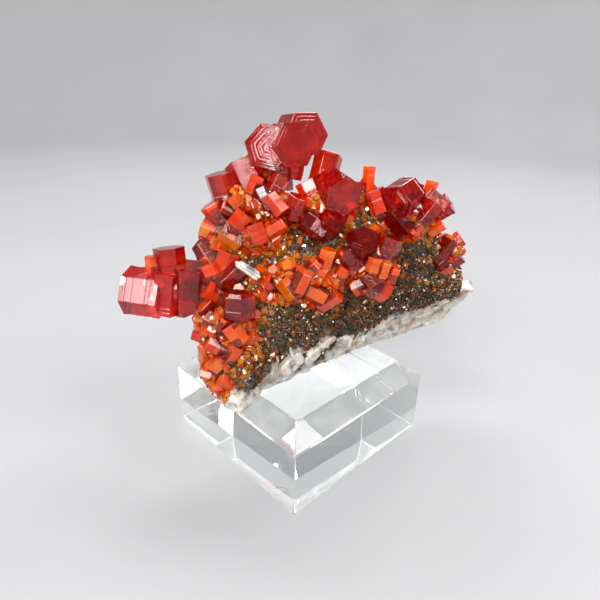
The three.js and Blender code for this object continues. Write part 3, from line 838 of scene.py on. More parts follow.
@dataclass(frozen=True)
class Cluster:
    """A group of crystals that are grown together as one solid, on roots that hold them."""

    name: str
    roots: tuple[Root, ...]
    crystals: tuple[Crystal, ...]

    def tint(self, crystal: Crystal, dice: random.Random) -> float:
        """Gives the tint of a crystal.

        Args:
            crystal: The crystal.
            dice: The source of the variation from one crystal to the next.

        Returns:
            The tint, from 0 to 1.
        """
        tint = WARMEST_TINT - crystal.width / DEEPENING_WIDTH
        # Near each spot the tint rises: real orange colour on the left and front, and painted light on the
        # right front and back clusters.
        for at, radius in WARM_AND_PAINTED_LIGHT_SPOTS:
            away = (Vector(crystal.at) - Vector(at)).length / radius
            tint += SPOT_WARMTH_AND_PAINTED_LIGHT * max(1 - away, 0)
        return min(max(tint + dice.uniform(*TINT_SPREAD), 0.0), 1.0)

    def build(self, deep: bpy.types.Material, bright: bpy.types.Material) -> bpy.types.Object:
        """Builds the cluster as one closed body.

        Args:
            deep: The material of the large crystals.
            bright: The material of the small ones and of the roots.

        Returns:
            The finished piece.
        """
        dice = random.Random(self.name)
        bucket = bpy.data.collections.new("growing_" + self.name)
        bpy.context.scene.collection.children.link(bucket)
        members = []
        for number, root in enumerate(self.roots):
            mesh = root.mesh(f"{self.name}_root_{number}")
            store(mesh, TINT, np.full(len(mesh.vertices), ROOT_TINT))
            members.append(mesh)
        for number, crystal in enumerate(self.crystals):
            mesh = crystal_mesh(crystal, dice, f"{self.name}_crystal_{number}")
            store(mesh, TINT, np.full(len(mesh.vertices), self.tint(crystal, dice)))
            members.append(mesh)
        whole = link(members[0], "vanadinite_" + self.name)
        for mesh in members[1:]:
            other = bpy.data.objects.new(mesh.name, mesh)
            bucket.objects.link(other)
        union = whole.modifiers.new("intergrown", "BOOLEAN")
        union.operation = "UNION"
        union.solver = "MANIFOLD"
        union.operand_type = "COLLECTION"
        union.collection = bucket
        piece = baked(whole, f"crystals_{self.name}")
        for other in list(bucket.objects):
            mesh = other.data
            bpy.data.objects.remove(other)
            bpy.data.meshes.remove(mesh)
        bpy.data.collections.remove(bucket)
        tints = np.zeros(len(piece.data.vertices), np.float32)
        piece.data.attributes[TINT].data.foreach_get("value", tints)
        finish_piece(piece, deep, ("vanadinite_" + self.name,))
        piece.data.materials.append(bright)
        slots = [int(tints[list(face.vertices)].mean() > BRIGHT_TINT) for face in piece.data.polygons]
        piece.data.polygons.foreach_set("material_index", slots)
        return piece


CLUSTERS = (
    Cluster(
        "tower",
        roots=(
            Root((-5.8, 4.8, 55.4), (3.4, 3.0, 4.2)),
            Root((-12.8, 0.8, 50.4), (5.0, 4.2, 3.8)),
            Root((-7.0, 0.4, 50.4), (4.6, 3.6, 3.4)),
            Root((-15.0, -1.0, 43.8), (5.0, 4.2, 4.8)),
            Root((-9.6, -1.8, 45.6), (5.4, 3.6, 3.4)),
        ),
        crystals=(
            Crystal((-7.2, 3.2, 60.4), 9.4, 5.6, -84, 12, -12, steps=2),
            Crystal((-3.0, 4.0, 61.4), 9.8, 5.8, -66, 6, 2, steps=2),
            Crystal((-1.3, 7.2, 62.6), 9.6, 6.4, -62, 8, 0, steps=2),
            Crystal((-5.0, 4.4, 56.2), 5.8, 7.2, 100, 82, 0),
            Crystal((-2.2, 6.0, 57.4), 4.6, 5.6, 30, 75, 0),
            Crystal((-15.4, 1.2, 53.4), 6.6, 5.6, 180, 75, 22),
            Crystal((-11.0, 3.2, 55.2), 7.4, 6.4, 150, 58, 10),
            Crystal((-12.4, -2.2, 51.2), 3.2, 3.6, -160, 55, 10),
            Crystal((-14.0, -2.6, 50.0), 2.8, 3.2, -170, 30, 10),
            Crystal((-9.4, -0.6, 54.4), 3.0, 3.6, 30, 65, -25),
            Crystal((-7.6, -1.2, 52.0), 3.6, 4.4, 160, 60, 5),
            Crystal((-5.4, 0.0, 54.4), 3.8, 4.4, 20, 60, 22),
            Crystal((-5.2, -2.6, 51.2), 3.6, 4.2, 150, 40, -20),
            Crystal((-1.8, -1.6, 50.8), 4.0, 4.4, -10, 70, 5),
            Crystal((-17.4, -2.4, 42.2), 4.4, 4.6, 180, 60, -30),
            Crystal((-14.6, -4.6, 40.4), 5.4, 5.0, 20, 70, -10),
            Crystal((-17.0, -2.4, 46.0), 4.4, 4.4, 170, 20, 20),
            Crystal((-13.6, -4.0, 45.4), 4.2, 4.4, -170, 35, 5),
            Crystal((-16.6, -1.8, 49.0), 4.2, 4.2, -170, 60, -20),
            Crystal((-12.0, -3.6, 48.2), 4.2, 4.2, 15, 50, -15),
            Crystal((-8.4, -4.4, 46.4), 3.6, 3.8, 165, 70, 25),
            Crystal((-5.2, -3.4, 47.4), 3.8, 4.0, 0, 35, 25),
        ),
    ),
    Cluster(
        "left_arm",
        roots=(
            Root((-24.0, -4.0, 34.6), (6.0, 3.6, 4.4)),
            Root((-16.4, -5.0, 36.6), (4.2, 3.4, 3.4)),
        ),
        crystals=(
            Crystal((-30.8, -4.2, 33.6), 10.6, 7.2, 178, 5, -3, steps=2),
            Crystal((-25.4, -3.6, 39.8), 6.6, 5.6, 120, 78, -20),
            Crystal((-28.6, -4.6, 39.8), 3.0, 2.8, 100, 80, 20),
            Crystal((-26.2, -4.4, 34.2), 8.0, 8.6, 10, 82, 15),
            Crystal((-21.6, -4.8, 35.2), 7.8, 8.8, 0, 85, -26),
            Crystal((-18.2, -6.2, 34.0), 4.6, 6.0, -20, 80, -10),
            Crystal((-23.2, -4.2, 32.0), 6.0, 5.0, 180, 70, -10),
            Crystal((-16.6, -6.0, 38.2), 5.2, 5.0, 150, 65, 0),
            Crystal((-13.2, -6.4, 38.4), 4.6, 4.6, 25, 40, 20),
            Crystal((-16.2, -8.0, 35.4), 4.4, 4.4, -165, 35, 20),
        ),
    ),
    Cluster(
        "lower_left",
        roots=(
            Root((-13.6, -12.4, 28.6), (4.6, 4.0, 6.6)),
            Root((-14.8, -15.0, 22.4), (2.8, 3.0, 4.0)),
            Root((-16.6, -9.0, 30.0), (3.6, 3.4, 4.0)),
        ),
        crystals=(
            Crystal((-11.2, -12.2, 35.2), 6.6, 4.2, 90, 82, -10, steps=2),
            Crystal((-13.8, -14.6, 32.4), 2.4, 2.8, 10, 60, 5),
            Crystal((-18.4, -10.0, 27.6), 3.8, 3.8, 170, 20, 20),
            Crystal((-17.0, -13.0, 24.8), 3.4, 3.2, -150, 10, -10),
            Crystal((-14.8, -15.0, 28.4), 4.0, 4.2, -170, 30, 20),
            Crystal((-12.2, -15.6, 27.0), 3.8, 4.2, 20, 60, -25),
            Crystal((-11.6, -14.8, 30.8), 4.2, 4.2, 170, 55, -20),
            Crystal((-15.4, -12.8, 31.6), 4.0, 4.0, 160, 20, -28),
            Crystal((-14.6, -15.8, 24.8), 4.0, 4.0, 0, 45, 25),
            Crystal((-13.0, -17.2, 22.2), 3.6, 3.6, -160, 40, 0),
            Crystal((-16.6, -9.6, 32.4), 4.4, 4.4, -170, 50, -15),
            Crystal((-13.6, -9.8, 33.6), 4.8, 4.6, 30, 75, 18),
        ),
    ),
    Cluster(
        "front_row",
        roots=(
            Root((-1.4, -6.0, 37.6), (5.6, 3.6, 3.2)),
            Root((4.0, -4.6, 36.8), (3.8, 3.2, 3.4)),
        ),
        crystals=(
            Crystal((-2.4, -8.2, 37.2), 3.8, 4.2, 170, 50, 10),
            Crystal((0.0, -8.4, 39.0), 4.0, 4.6, 20, 65, 25),
            Crystal((5.2, -6.4, 34.6), 4.4, 4.6, -10, 40, 5),
            Crystal((-2.4, -6.0, 40.0), 3.6, 4.0, 150, 70, 0),
            Crystal((4.4, -4.6, 41.8), 3.6, 4.2, 0, 75, -5),
            Crystal((2.4, -7.0, 36.0), 4.6, 4.8, 175, 25, -18),
            Crystal((1.8, -5.6, 40.2), 3.6, 3.8, 15, 45, 18),
            Crystal((-5.8, -7.2, 37.4), 3.0, 3.2, -160, 50, 10),
            Crystal((7.4, -4.2, 38.6), 3.0, 3.4, 10, 60, 0),
        ),
    ),
    Cluster(
        "centre",
        roots=(
            Root((3.2, 1.6, 50.0), (5.0, 3.8, 3.6)),
        ),
        crystals=(
            Crystal((6.1, 1.0, 53.5), 8.2, 6.6, -66, -7, 28, steps=2),
            Crystal((3.8, 6.6, 56.4), 6.2, 6.0, 60, 65, -20),
            Crystal((1.2, 2.2, 52.6), 4.8, 5.2, 160, 60, 0),
            Crystal((4.6, -1.4, 47.2), 5.4, 5.0, -55, 48, 7),
            Crystal((2.2, -1.4, 47.4), 5.2, 4.8, 170, 30, -10),
            Crystal((0.0, 0.4, 49.0), 4.2, 4.6, -170, 50, 22),
        ),
    ),
    Cluster(
        "right_front",
        roots=(
            Root((12.6, -1.4, 40.2), (4.6, 3.2, 5.0)),
        ),
        crystals=(
            Crystal((11.2, -1.8, 43.4), 7.4, 4.8, -95, 62, -25, steps=2),
            Crystal((16.2, -0.8, 43.2), 5.6, 4.8, 10, 70, 10),
            Crystal((9.4, -3.2, 41.8), 4.4, 4.4, 165, 60, 20),
            Crystal((13.6, -4.6, 41.0), 3.2, 2.8, 0, 78, -25),
            Crystal((15.4, -4.6, 40.2), 3.2, 3.0, 0, 76, -20),
            Crystal((17.2, -4.0, 39.0), 3.0, 3.0, 0, 74, -22),
            Crystal((14.4, -3.2, 38.4), 5.4, 5.0, 5, 35, 14),
            Crystal((12.2, -4.0, 38.0), 2.4, 2.8, -170, 50, -20),
            Crystal((14.8, -2.4, 35.8), 5.4, 5.0, 15, -35, 10),
            Crystal((12.0, -2.4, 36.2), 4.6, 4.4, 175, -30, 8),
        ),
    ),
    Cluster(
        "right_top",
        roots=(
            Root((21.2, 5.2, 48.8), (6.4, 3.8, 3.8)),
        ),
        crystals=(
            Crystal((19.0, 3.3, 52.0), 8.0, 5.6, -130, -12, 13, steps=2),
            Crystal((20.6, 5.8, 52.8), 5.4, 4.4, 20, 70, 20),
            Crystal((25.0, 7.4, 52.8), 2.8, 4.0, 20, 75, 10),
            Crystal((25.8, 3.4, 51.4), 3.8, 4.8, -30, -30, -5),
            Crystal((24.4, 2.8, 49.4), 4.6, 4.4, 10, 55, 25),
            Crystal((27.0, 5.2, 49.8), 4.8, 4.4, -15, 35, 25),
            Crystal((18.6, 3.2, 47.6), 5.4, 5.2, 170, 45, 7),
            Crystal((22.4, 2.4, 46.8), 2.8, 3.6, 0, 60, 0),
            Crystal((14.2, 3.6, 51.2), 4.4, 4.6, 160, 65, -12),
            Crystal((16.0, 5.4, 49.6), 5.0, 5.2, 20, 60, 12),
            Crystal((26.6, 4.6, 45.8), 3.0, 3.4, -10, 40, -10),
        ),
    ),
    Cluster(
        "far_right",
        roots=(
            Root((30.4, 9.0, 39.6), (3.8, 3.4, 3.6)),
        ),
        crystals=(
            Crystal((29.6, 6.8, 41.0), 4.2, 4.4, 15, 60, -30),
            Crystal((32.0, 8.2, 37.8), 4.4, 4.2, -10, 45, -2),
            Crystal((28.2, 6.4, 38.8), 4.0, 4.2, 170, 50, -10),
            Crystal((32.0, 9.2, 41.4), 3.8, 4.0, 0, 40, 5),
            Crystal((30.2, 7.4, 36.2), 3.4, 3.6, 0, 30, -8),
        ),
    ),
    Cluster(
        "small_prism",
        roots=(
            Root((11.6, 6.6, 51.2), (2.8, 2.4, 2.8)),
        ),
        crystals=(
            Crystal((12.4, 6.0, 55.0), 2.8, 4.8, 80, 84, 25),
            Crystal((12.0, 6.4, 52.6), 3.8, 3.6, 20, 60, 10),
        ),
    ),
    Cluster(
        "back_upper",
        roots=(
            Root((-10.4, 8.2, 46.8), (5.2, 3.2, 5.0)),
        ),
        crystals=(
            Crystal((-10.0, 10.6, 49.8), 7.6, 6.2, 80, 30, -10, steps=2),
            Crystal((-14.0, 9.4, 45.8), 6.4, 5.8, 120, 10, 0),
            Crystal((-6.6, 10.6, 45.2), 6.6, 5.8, 70, 5, 14),
            Crystal((-10.8, 10.4, 41.8), 5.8, 5.2, 100, -15, -28),
        ),
    ),
    Cluster(
        "back_middle",
        roots=(
            Root((4.4, 10.6, 38.6), (5.4, 3.2, 4.8)),
        ),
        crystals=(
            Crystal((3.2, 12.8, 41.0), 8.0, 6.2, 95, 25, 25, steps=2),
            Crystal((8.4, 12.8, 38.8), 6.4, 5.8, 60, 10, 20),
            Crystal((0.2, 12.6, 36.4), 5.8, 5.4, 120, -5, 8),
            Crystal((5.4, 13.2, 34.8), 5.4, 5.0, 80, -20, -5),
        ),
    ),
    Cluster(
        "back_right",
        roots=(
            Root((20.6, 13.4, 42.2), (5.0, 3.0, 4.0)),
        ),
        crystals=(
            Crystal((20.0, 15.2, 44.2), 7.2, 5.8, 90, 35, -18, steps=2),
            Crystal((24.6, 14.8, 41.4), 6.0, 5.4, 50, 10, 10),
            Crystal((17.0, 15.0, 40.2), 5.8, 5.2, 120, 0, 20),
        ),
    ),
    Cluster(
        "back_left",
        roots=(
            Root((-17.8, 2.6, 36.2), (4.2, 3.2, 4.4)),
        ),
        crystals=(
            Crystal((-19.4, 4.6, 38.4), 6.4, 5.6, 120, 25, 0, steps=2),
            Crystal((-16.0, 5.6, 34.8), 5.8, 5.2, 85, 0, -3),
            Crystal((-20.6, 3.0, 33.8), 5.2, 5.0, 150, -10, -20),
        ),
    ),
)


# ---- Rock and the bed that the small crystals grow on

# The rock is bare below a level that rises to the right, and at the pale spots, each with its radius. The
# edge of the bare rock wanders by the wobble, and is the sharper the larger the edge value.
FOOT_LEVEL = 20.8
FOOT_SLOPE = 0.26
FOOT_START = 4
WOBBLE = 2.6
WOBBLE_GRAIN = 0.3
LEVEL_EDGE = 2.2
SPOT_EDGE = 3
PALE_SPOTS = (
    ((-9.6, -6.6, 40.2), 0.9),
    ((-1.0, -10.2, 22.4), 3.0),
    ((-4.4, -12.4, 21.4), 2.0),
    ((2.4, -7.0, 22.4), 2.2),
    ((5.4, -4.6, 23.8), 2.2),
    ((37.2, 14.4, 29.0), 3.4),
)

# Where the white laths stand, with amber crystals round them.
LATH_AT = (-9.9, -7.9, 40.4)


def bareness(points: np.ndarray) -> np.ndarray:
    """Says how bare and pale the rock is.

    Args:
        points: Points in millimetres, one row each.

    Returns:
        1 for bare rock at the foot and on its pale lumps, 0 where the druse covers it.
    """
    level = FOOT_LEVEL + FOOT_SLOPE * np.maximum(points[:, 0] - FOOT_START, 0)
    wobble = np.array([noise.noise(Vector(p) * WOBBLE_GRAIN) for p in points])
    bare = 1 / (1 + np.exp((points[:, 2] - level - WOBBLE * wobble) * LEVEL_EDGE))
    for at, radius in PALE_SPOTS:
        away = np.linalg.norm(points - np.array(at), axis=1) - radius + wobble
        bare = np.maximum(bare, 1 / (1 + np.exp(away * SPOT_EDGE)))
    return bare


@dataclass(frozen=True)
class BariteRock:
    """The broken plate of barite.

    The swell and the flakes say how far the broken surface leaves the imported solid's, and the strength
    scales both. Above the block, the rock stays clear of it by the gap.
    """

    voxel: float = 0.36
    swell: float = 0.4
    swell_grain: float = 0.35
    flake: float = 0.16
    flake_grain: float = 0.55
    covered_flake: float = 0.4
    strength: float = 0.8
    gap: float = 0.04
    footprint: float = 24

    def build(self, material: bpy.types.Material) -> bpy.types.Object:
        """Builds the rock with a rough, broken surface.

        Args:
            material: The rock's material.

        Returns:
            The finished piece.
        """
        piece = remeshed(link(merged_copy("barite_matrix"), "rock_base"), self.voxel, "barite_rock")
        points = coordinates(piece.data)
        normals = np.zeros(len(points) * 3, np.float32)
        piece.data.vertices.foreach_get("normal", normals)
        normals = normals.reshape(-1, 3)
        bare = bareness(points)
        swells = np.array([noise.fractal(Vector(p) * self.swell_grain, 0.9, 2.2, 4) for p in points])
        tilted = [Vector((x + 0.6 * z, y * 0.7, z * 1.6 - x * 0.3)) for x, y, z in points]
        flakes = np.array([noise.cell(place * self.flake_grain) for place in tilted])
        push = self.swell * swells + self.flake * flakes * (self.covered_flake + bare)
        shifted = (points + normals * push[:, None] * self.strength).astype(np.float32) * MM
        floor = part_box("acrylic_block")[1].z + self.gap * MM
        above = np.hypot(points[:, 0], points[:, 1]) < self.footprint
        shifted[:, 2] = np.where(above, np.maximum(shifted[:, 2], floor), shifted[:, 2])
        piece.data.vertices.foreach_set("co", shifted.astype(np.float32).ravel())
        store(piece.data, DRUSE, 1 - bare)
        finish_piece(piece, material, ("barite_matrix",))
        return piece


@dataclass(frozen=True)
class GrowingBed:
    """The skin that small crystals grow on. It is taken away once they have grown.

    Each zone is a share from 0 to 1. Red is strongest at the roots, amber in a ring round them, in patches,
    and round the laths. A reach is the share at the strongest place before it is cut to 1, and a fade is the
    distance in millimetres over which the share falls by 1.
    """

    voxel: float = 0.6
    clearance: float = 0.15
    red_reach: float = 1.2
    red_fade: float = 1.6
    amber_ring: float = 1.2
    amber_reach: float = 1.25
    amber_fade: float = 3.2
    patch: float = 0.9
    patch_grain: float = 0.25
    patch_at: Point = (7, 3, 1)
    lath_reach: float = 1.7
    lath_fade: float = 2.4
    dark_fade: float = 1.5

    def skin(self) -> bpy.types.Object:
        """Makes one closed skin of the rock and of the roots of all the clusters."""
        shells = [link(merged_copy("barite_matrix"), "bed_rock")]
        for cluster in CLUSTERS:
            for number, root in enumerate(cluster.roots):
                shells.append(link(root.mesh(f"bed_{cluster.name}_{number}"), "bed_root"))
        return remeshed(join(shells, "bed_shells"), self.voxel, "growing_bed")

    def build(self) -> bpy.types.Object:
        """Builds the bed with an attribute for each zone.

        Returns:
            The bed, which isn't part of the specimen.
        """
        bed = self.skin()
        points = coordinates(bed.data)
        covered = np.zeros(len(points), bool)
        gap = np.full(len(points), np.inf)
        for cluster in CLUSTERS:
            for crystal in cluster.crystals:
                covered |= crystal.covers(points, self.clearance)
            for root in cluster.roots:
                gap = np.minimum(gap, root.distance(points))
        free = np.where(covered, 0.0, 1.0)
        bare = bareness(points)
        crusted = np.clip(1.4 - 2 * bare, 0, 1)
        shift = Vector(self.patch_at)
        patches = np.array([noise.noise(Vector(p) * self.patch_grain + shift) for p in points])
        red = np.clip(self.red_reach - gap / self.red_fade, 0, 1)
        ring = np.abs(gap - self.amber_ring) / self.amber_fade
        amber = np.clip(self.amber_reach - ring + self.patch * patches, 0, 1)
        away = np.linalg.norm(points - np.array(LATH_AT), axis=1)
        amber = np.maximum(amber, np.clip(self.lath_reach - away / self.lath_fade, 0, 1))
        store(bed.data, Zone.RED.value, free * red)
        store(bed.data, Zone.AMBER.value, free * amber * crusted)
        store(bed.data, Zone.DARK.value, free * crusted * np.clip(gap / self.dark_fade, 0, 1))
        store(bed.data, Zone.PALE.value, free * 4 * bare * (1 - bare) * np.clip(gap, 0, 1))
        return bed


# A blade's outline, as shares of its length and width, and its rings: a share of its thickness, and how far
# each ring lies inside the outline, as a multiple of the worn edge.
BLADE_PLAN = (
    (-0.5, -0.28), (-0.36, -0.5), (0.38, -0.5), (0.5, -0.2),
    (0.44, 0.34), (0.3, 0.5), (-0.4, 0.5), (-0.5, 0.3),
)
BLADE_RINGS = (
    (-0.5, 1), (-0.5, 0), (-0.1, 0), (-0.08, 0.35), (0.2, 0.35), (0.24, 0.1), (0.5, 0.1), (0.5, 1.2),
)
WORN_EDGE = 0.18
PLAN_SPREAD = 0.03


@dataclass(frozen=True)
class BariteBlade:
    """A thin tabular barite crystal: its middle, its length, width and thickness, and its lean."""

    at: Point
    size: Point
    heading: float
    rise: float
    spin: float

    def mesh(self, name: str, dice: random.Random) -> bpy.types.Mesh:
        """Builds the blade with worn edges.

        Args:
            name: The name of the mesh.
            dice: The source of its small irregularities.

        Returns:
            The closed mesh.
        """
        length, width, thickness = self.size
        edge = WORN_EDGE * thickness
        spread = [(dice.uniform(-PLAN_SPREAD, PLAN_SPREAD), dice.uniform(-PLAN_SPREAD, PLAN_SPREAD))
                  for _ in BLADE_PLAN]
        plan = [(x + dx, y + dy) for (x, y), (dx, dy) in zip(BLADE_PLAN, spread)]
        turn = Crystal(self.at, 1, 1, self.heading, self.rise, self.spin).turn()
        points = []
        for level, inset in BLADE_RINGS:
            lift = thickness * level + (edge if inset == 0 and level == -0.5 else 0)
            lift -= edge if inset == 0.1 and level == 0.5 else 0
            share = 1 - 2 * inset * edge / width
            points += [
                turn @ Vector((x * length * share, y * width * share, lift)) + Vector(self.at)
                for x, y in plan
            ]
        return mesh_from(points, tube_faces(len(BLADE_RINGS), len(plan)), name)


BLADES = (
    BariteBlade(LATH_AT, (5.6, 0.62, 1.0), -80, 35, 55),
    BariteBlade((-9.66, -7.6, 40.75), (4.4, 0.55, 0.8), -80, 35, 57),
    BariteBlade((-10.14, -8.2, 40.05), (4.8, 0.55, 0.75), -80, 35, 53),
    BariteBlade((-1.4, -10.5, 22.3), (5.6, 3.0, 1.8), -50, 12, 110),
    BariteBlade((2.6, -7.3, 22.2), (4.4, 2.2, 1.3), -48, 5, 112),
    BariteBlade((5.6, -4.9, 24.0), (4.6, 1.3, 1.0), -50, 10, 106),
    BariteBlade((37.4, 13.6, 29.4), (5.0, 2.6, 0.9), -80, 65, 88),
)


@dataclass(frozen=True)
class BariteLaths:
    """The single white blades that stand out of the rock."""

    blades: tuple[BariteBlade, ...] = BLADES
    seed: int = 5

    def build(self, material: bpy.types.Material) -> bpy.types.Object:
        """Builds the blades as one piece.

        Args:
            material: Their material.

        Returns:
            The finished piece.
        """
        dice = random.Random(self.seed)
        meshes = [blade.mesh(f"lath_{number}", dice) for number, blade in enumerate(self.blades)]
        piece = join([link(mesh, "lath") for mesh in meshes], "barite_laths")
        finish_piece(piece, material)
        return piece


# ---- Small crystals, grown over the bed


class Sprout:
    """The node tree that grows small crystals over a bed."""

    INPUTS = {
        "Crystal": "NodeSocketObject",
        "Zone": "NodeSocketString",
        "Spacing": "NodeSocketFloat",
        "Density": "NodeSocketFloat",
        "Smallest": "NodeSocketFloat",
        "Largest": "NodeSocketFloat",
        "Smallness": "NodeSocketFloat",
        "Tilt": "NodeSocketFloat",
        "Palest": "NodeSocketFloat",
        "Deepest": "NodeSocketFloat",
        "Seed": "NodeSocketInt",
        "Material": "NodeSocketMaterial",
    }

    def __init__(self) -> None:
        """Builds the tree once, for all the kinds of small crystal."""
        self.tree = bpy.data.node_groups.new("sprout", "GeometryNodeTree")
        face = self.tree.interface
        face.new_socket(name="Bed", in_out="INPUT", socket_type="NodeSocketGeometry")
        self.sockets = {
            name: face.new_socket(name=name, in_out="INPUT", socket_type=kind).identifier
            for name, kind in self.INPUTS.items()
        }
        face.new_socket(name="Crystals", in_out="OUTPUT", socket_type="NodeSocketGeometry")
        nodes = Shader(self.tree)
        entry, leave = nodes.add("NodeGroupInput"), nodes.add("NodeGroupOutput")
        given = entry.outputs

        zone = nodes.add("GeometryNodeInputNamedAttribute", data_type="FLOAT")
        nodes.join(given["Zone"], zone.inputs["Name"])
        points = nodes.add("GeometryNodeDistributePointsOnFaces", distribute_method="POISSON")
        nodes.join(given["Bed"], points.inputs["Mesh"])
        nodes.join(given["Spacing"], points.inputs["Distance Min"])
        nodes.join(given["Density"], points.inputs["Density Max"])
        nodes.join(zone.outputs["Attribute"], points.inputs["Density Factor"])
        nodes.join(given["Seed"], points.inputs["Seed"])

        lean = nodes.add("FunctionNodeRandomValue", data_type="FLOAT_VECTOR")
        lowest = nodes.add("ShaderNodeCombineXYZ")
        highest = nodes.add("ShaderNodeCombineXYZ")
        below = nodes.add("ShaderNodeMath", operation="MULTIPLY")
        nodes.join(given["Tilt"], below.inputs[0])
        below.inputs[1].default_value = -1.0
        for axis in ("X", "Y"):
            nodes.join(below.outputs["Value"], lowest.inputs[axis])
            nodes.join(given["Tilt"], highest.inputs[axis])
        highest.inputs["Z"].default_value = 2 * math.pi
        nodes.join(lowest.outputs["Vector"], lean.inputs[0])
        nodes.join(highest.outputs["Vector"], lean.inputs[1])
        nodes.join(given["Seed"], lean.inputs["Seed"])
        euler = nodes.add("FunctionNodeEulerToRotation")
        nodes.join(lean.outputs[0], euler.inputs["Euler"])
        turned = nodes.add("FunctionNodeRotateRotation", rotation_space="LOCAL")
        nodes.join(points.outputs["Rotation"], turned.inputs["Rotation"])
        nodes.join(euler.outputs["Rotation"], turned.inputs["Rotate By"])

        lot = nodes.add("FunctionNodeRandomValue", data_type="FLOAT")
        nodes.join(given["Seed"], lot.inputs["Seed"])
        skew = nodes.add("ShaderNodeMath", operation="POWER")
        nodes.join(lot.outputs[1], skew.inputs[0])
        nodes.join(given["Smallness"], skew.inputs[1])
        size = nodes.add("ShaderNodeMapRange")
        nodes.join(skew.outputs["Value"], size.inputs["Value"])
        nodes.join(given["Smallest"], size.inputs["To Min"])
        nodes.join(given["Largest"], size.inputs["To Max"])

        grown = nodes.add("GeometryNodeInstanceOnPoints")
        model = nodes.add("GeometryNodeObjectInfo", transform_space="ORIGINAL")
        nodes.join(given["Crystal"], model.inputs["Object"])
        nodes.join(points.outputs["Points"], grown.inputs["Points"])
        nodes.join(model.outputs["Geometry"], grown.inputs["Instance"])
        nodes.join(turned.outputs["Rotation"], grown.inputs["Rotation"])
        nodes.join(size.outputs["Result"], grown.inputs["Scale"])

        shade = nodes.add("FunctionNodeRandomValue", data_type="FLOAT")
        nodes.join(given["Deepest"], shade.inputs[2])
        nodes.join(given["Palest"], shade.inputs[3])
        nodes.join(given["Seed"], shade.inputs["Seed"])
        kept = nodes.add("GeometryNodeStoreNamedAttribute", data_type="FLOAT", domain="INSTANCE")
        kept.inputs["Name"].default_value = TINT
        nodes.join(grown.outputs["Instances"], kept.inputs["Geometry"])
        nodes.join(shade.outputs[1], kept.inputs["Value"])
        real = nodes.add("GeometryNodeRealizeInstances")
        dressed = nodes.add("GeometryNodeSetMaterial")
        nodes.join(kept.outputs["Geometry"], real.inputs["Geometry"])
        nodes.join(real.outputs["Geometry"], dressed.inputs["Geometry"])
        nodes.join(given["Material"], dressed.inputs["Material"])
        nodes.join(dressed.outputs["Geometry"], leave.inputs["Crystals"])


class Shape(Enum):
    """The shapes of small crystal: a flat-ended prism, a pointed one and a flat blade."""

    PRISM = "prism"
    POINT = "point"
    BLADE = "blade"


POINT_SIDES = 5
BLADE_FLATNESS = 0.22


def model_crystal(shape: Shape) -> bpy.types.Object:
    """Builds a small crystal of size 1 that stands on the origin, partly below it.

    Args:
        shape: Its shape.

    Returns:
        The model object, in metres for sizes given in metres.
    """
    points = []
    profiles = {
        Shape.PRISM: [(-0.4, 0.46), (0.5, 0.5), (0.54, 0.46)],
        Shape.POINT: [(-0.3, 0.34), (0.25, 0.4), (0.62, 0.12)],
        Shape.BLADE: [(-0.5, 0.5), (0.6, 0.5), (0.66, 0.44)],
    }
    count = POINT_SIDES if shape is Shape.POINT else SIDES
    flat = BLADE_FLATNESS if shape is Shape.BLADE else 1.0
    for level, radius in profiles[shape]:
        for k in range(count):
            angle = 2 * math.pi * k / count
            points.append(Vector((radius * math.cos(angle), flat * radius * math.sin(angle), level)) / MM)
    mesh = mesh_from(points, tube_faces(len(profiles[shape]), count), "model_" + shape.value)
    store_vectors(mesh, GROWTH, [(1.0, point.z * MM, 0.0) for point in points])
    return link(mesh, "model_" + shape.value)


@dataclass(frozen=True)
class SmallCrystals:
    """One kind of small crystal: where it grows, how thickly, and its sizes in millimetres.

    The spacing is the least distance between two, and the larger the smallness, the more of them are small.
    The tilt is the most that one leans, in degrees.
    """

    name: str
    shape: Shape
    zone: Zone
    spacing: float
    per_square: float
    sizes: tuple[float, float]
    smallness: float
    tilt: float
    tints: tuple[float, float]
    seed: int
    slot: Slot

    def build(
        self, sprout: Sprout, bed: bpy.types.Object, material: bpy.types.Material
    ) -> bpy.types.Object:
        """Grows the crystals over the bed as one piece.

        Args:
            sprout: The node tree.
            bed: The bed.
            material: The material of the crystals.

        Returns:
            The finished piece.
        """
        model = model_crystal(self.shape)
        copy = link(bed.data.copy(), self.name)
        modifier = copy.modifiers.new("sprout", "NODES")
        modifier.node_group = sprout.tree
        values = {
            "Crystal": model,
            "Zone": self.zone.value,
            "Spacing": self.spacing * MM,
            "Density": self.per_square / MM**2,
            "Smallest": self.sizes[0] * MM,
            "Largest": self.sizes[1] * MM,
            "Smallness": self.smallness,
            "Tilt": math.radians(self.tilt),
            "Palest": self.tints[1],
            "Deepest": self.tints[0],
            "Seed": self.seed,
            "Material": material,
        }
        for name, value in values.items():
            modifier[sprout.sockets[name]] = value
        piece = baked(copy, self.name)
        mesh = model.data
        bpy.data.objects.remove(model)
        bpy.data.meshes.remove(mesh)
        finish_piece(piece, material)
        return piece


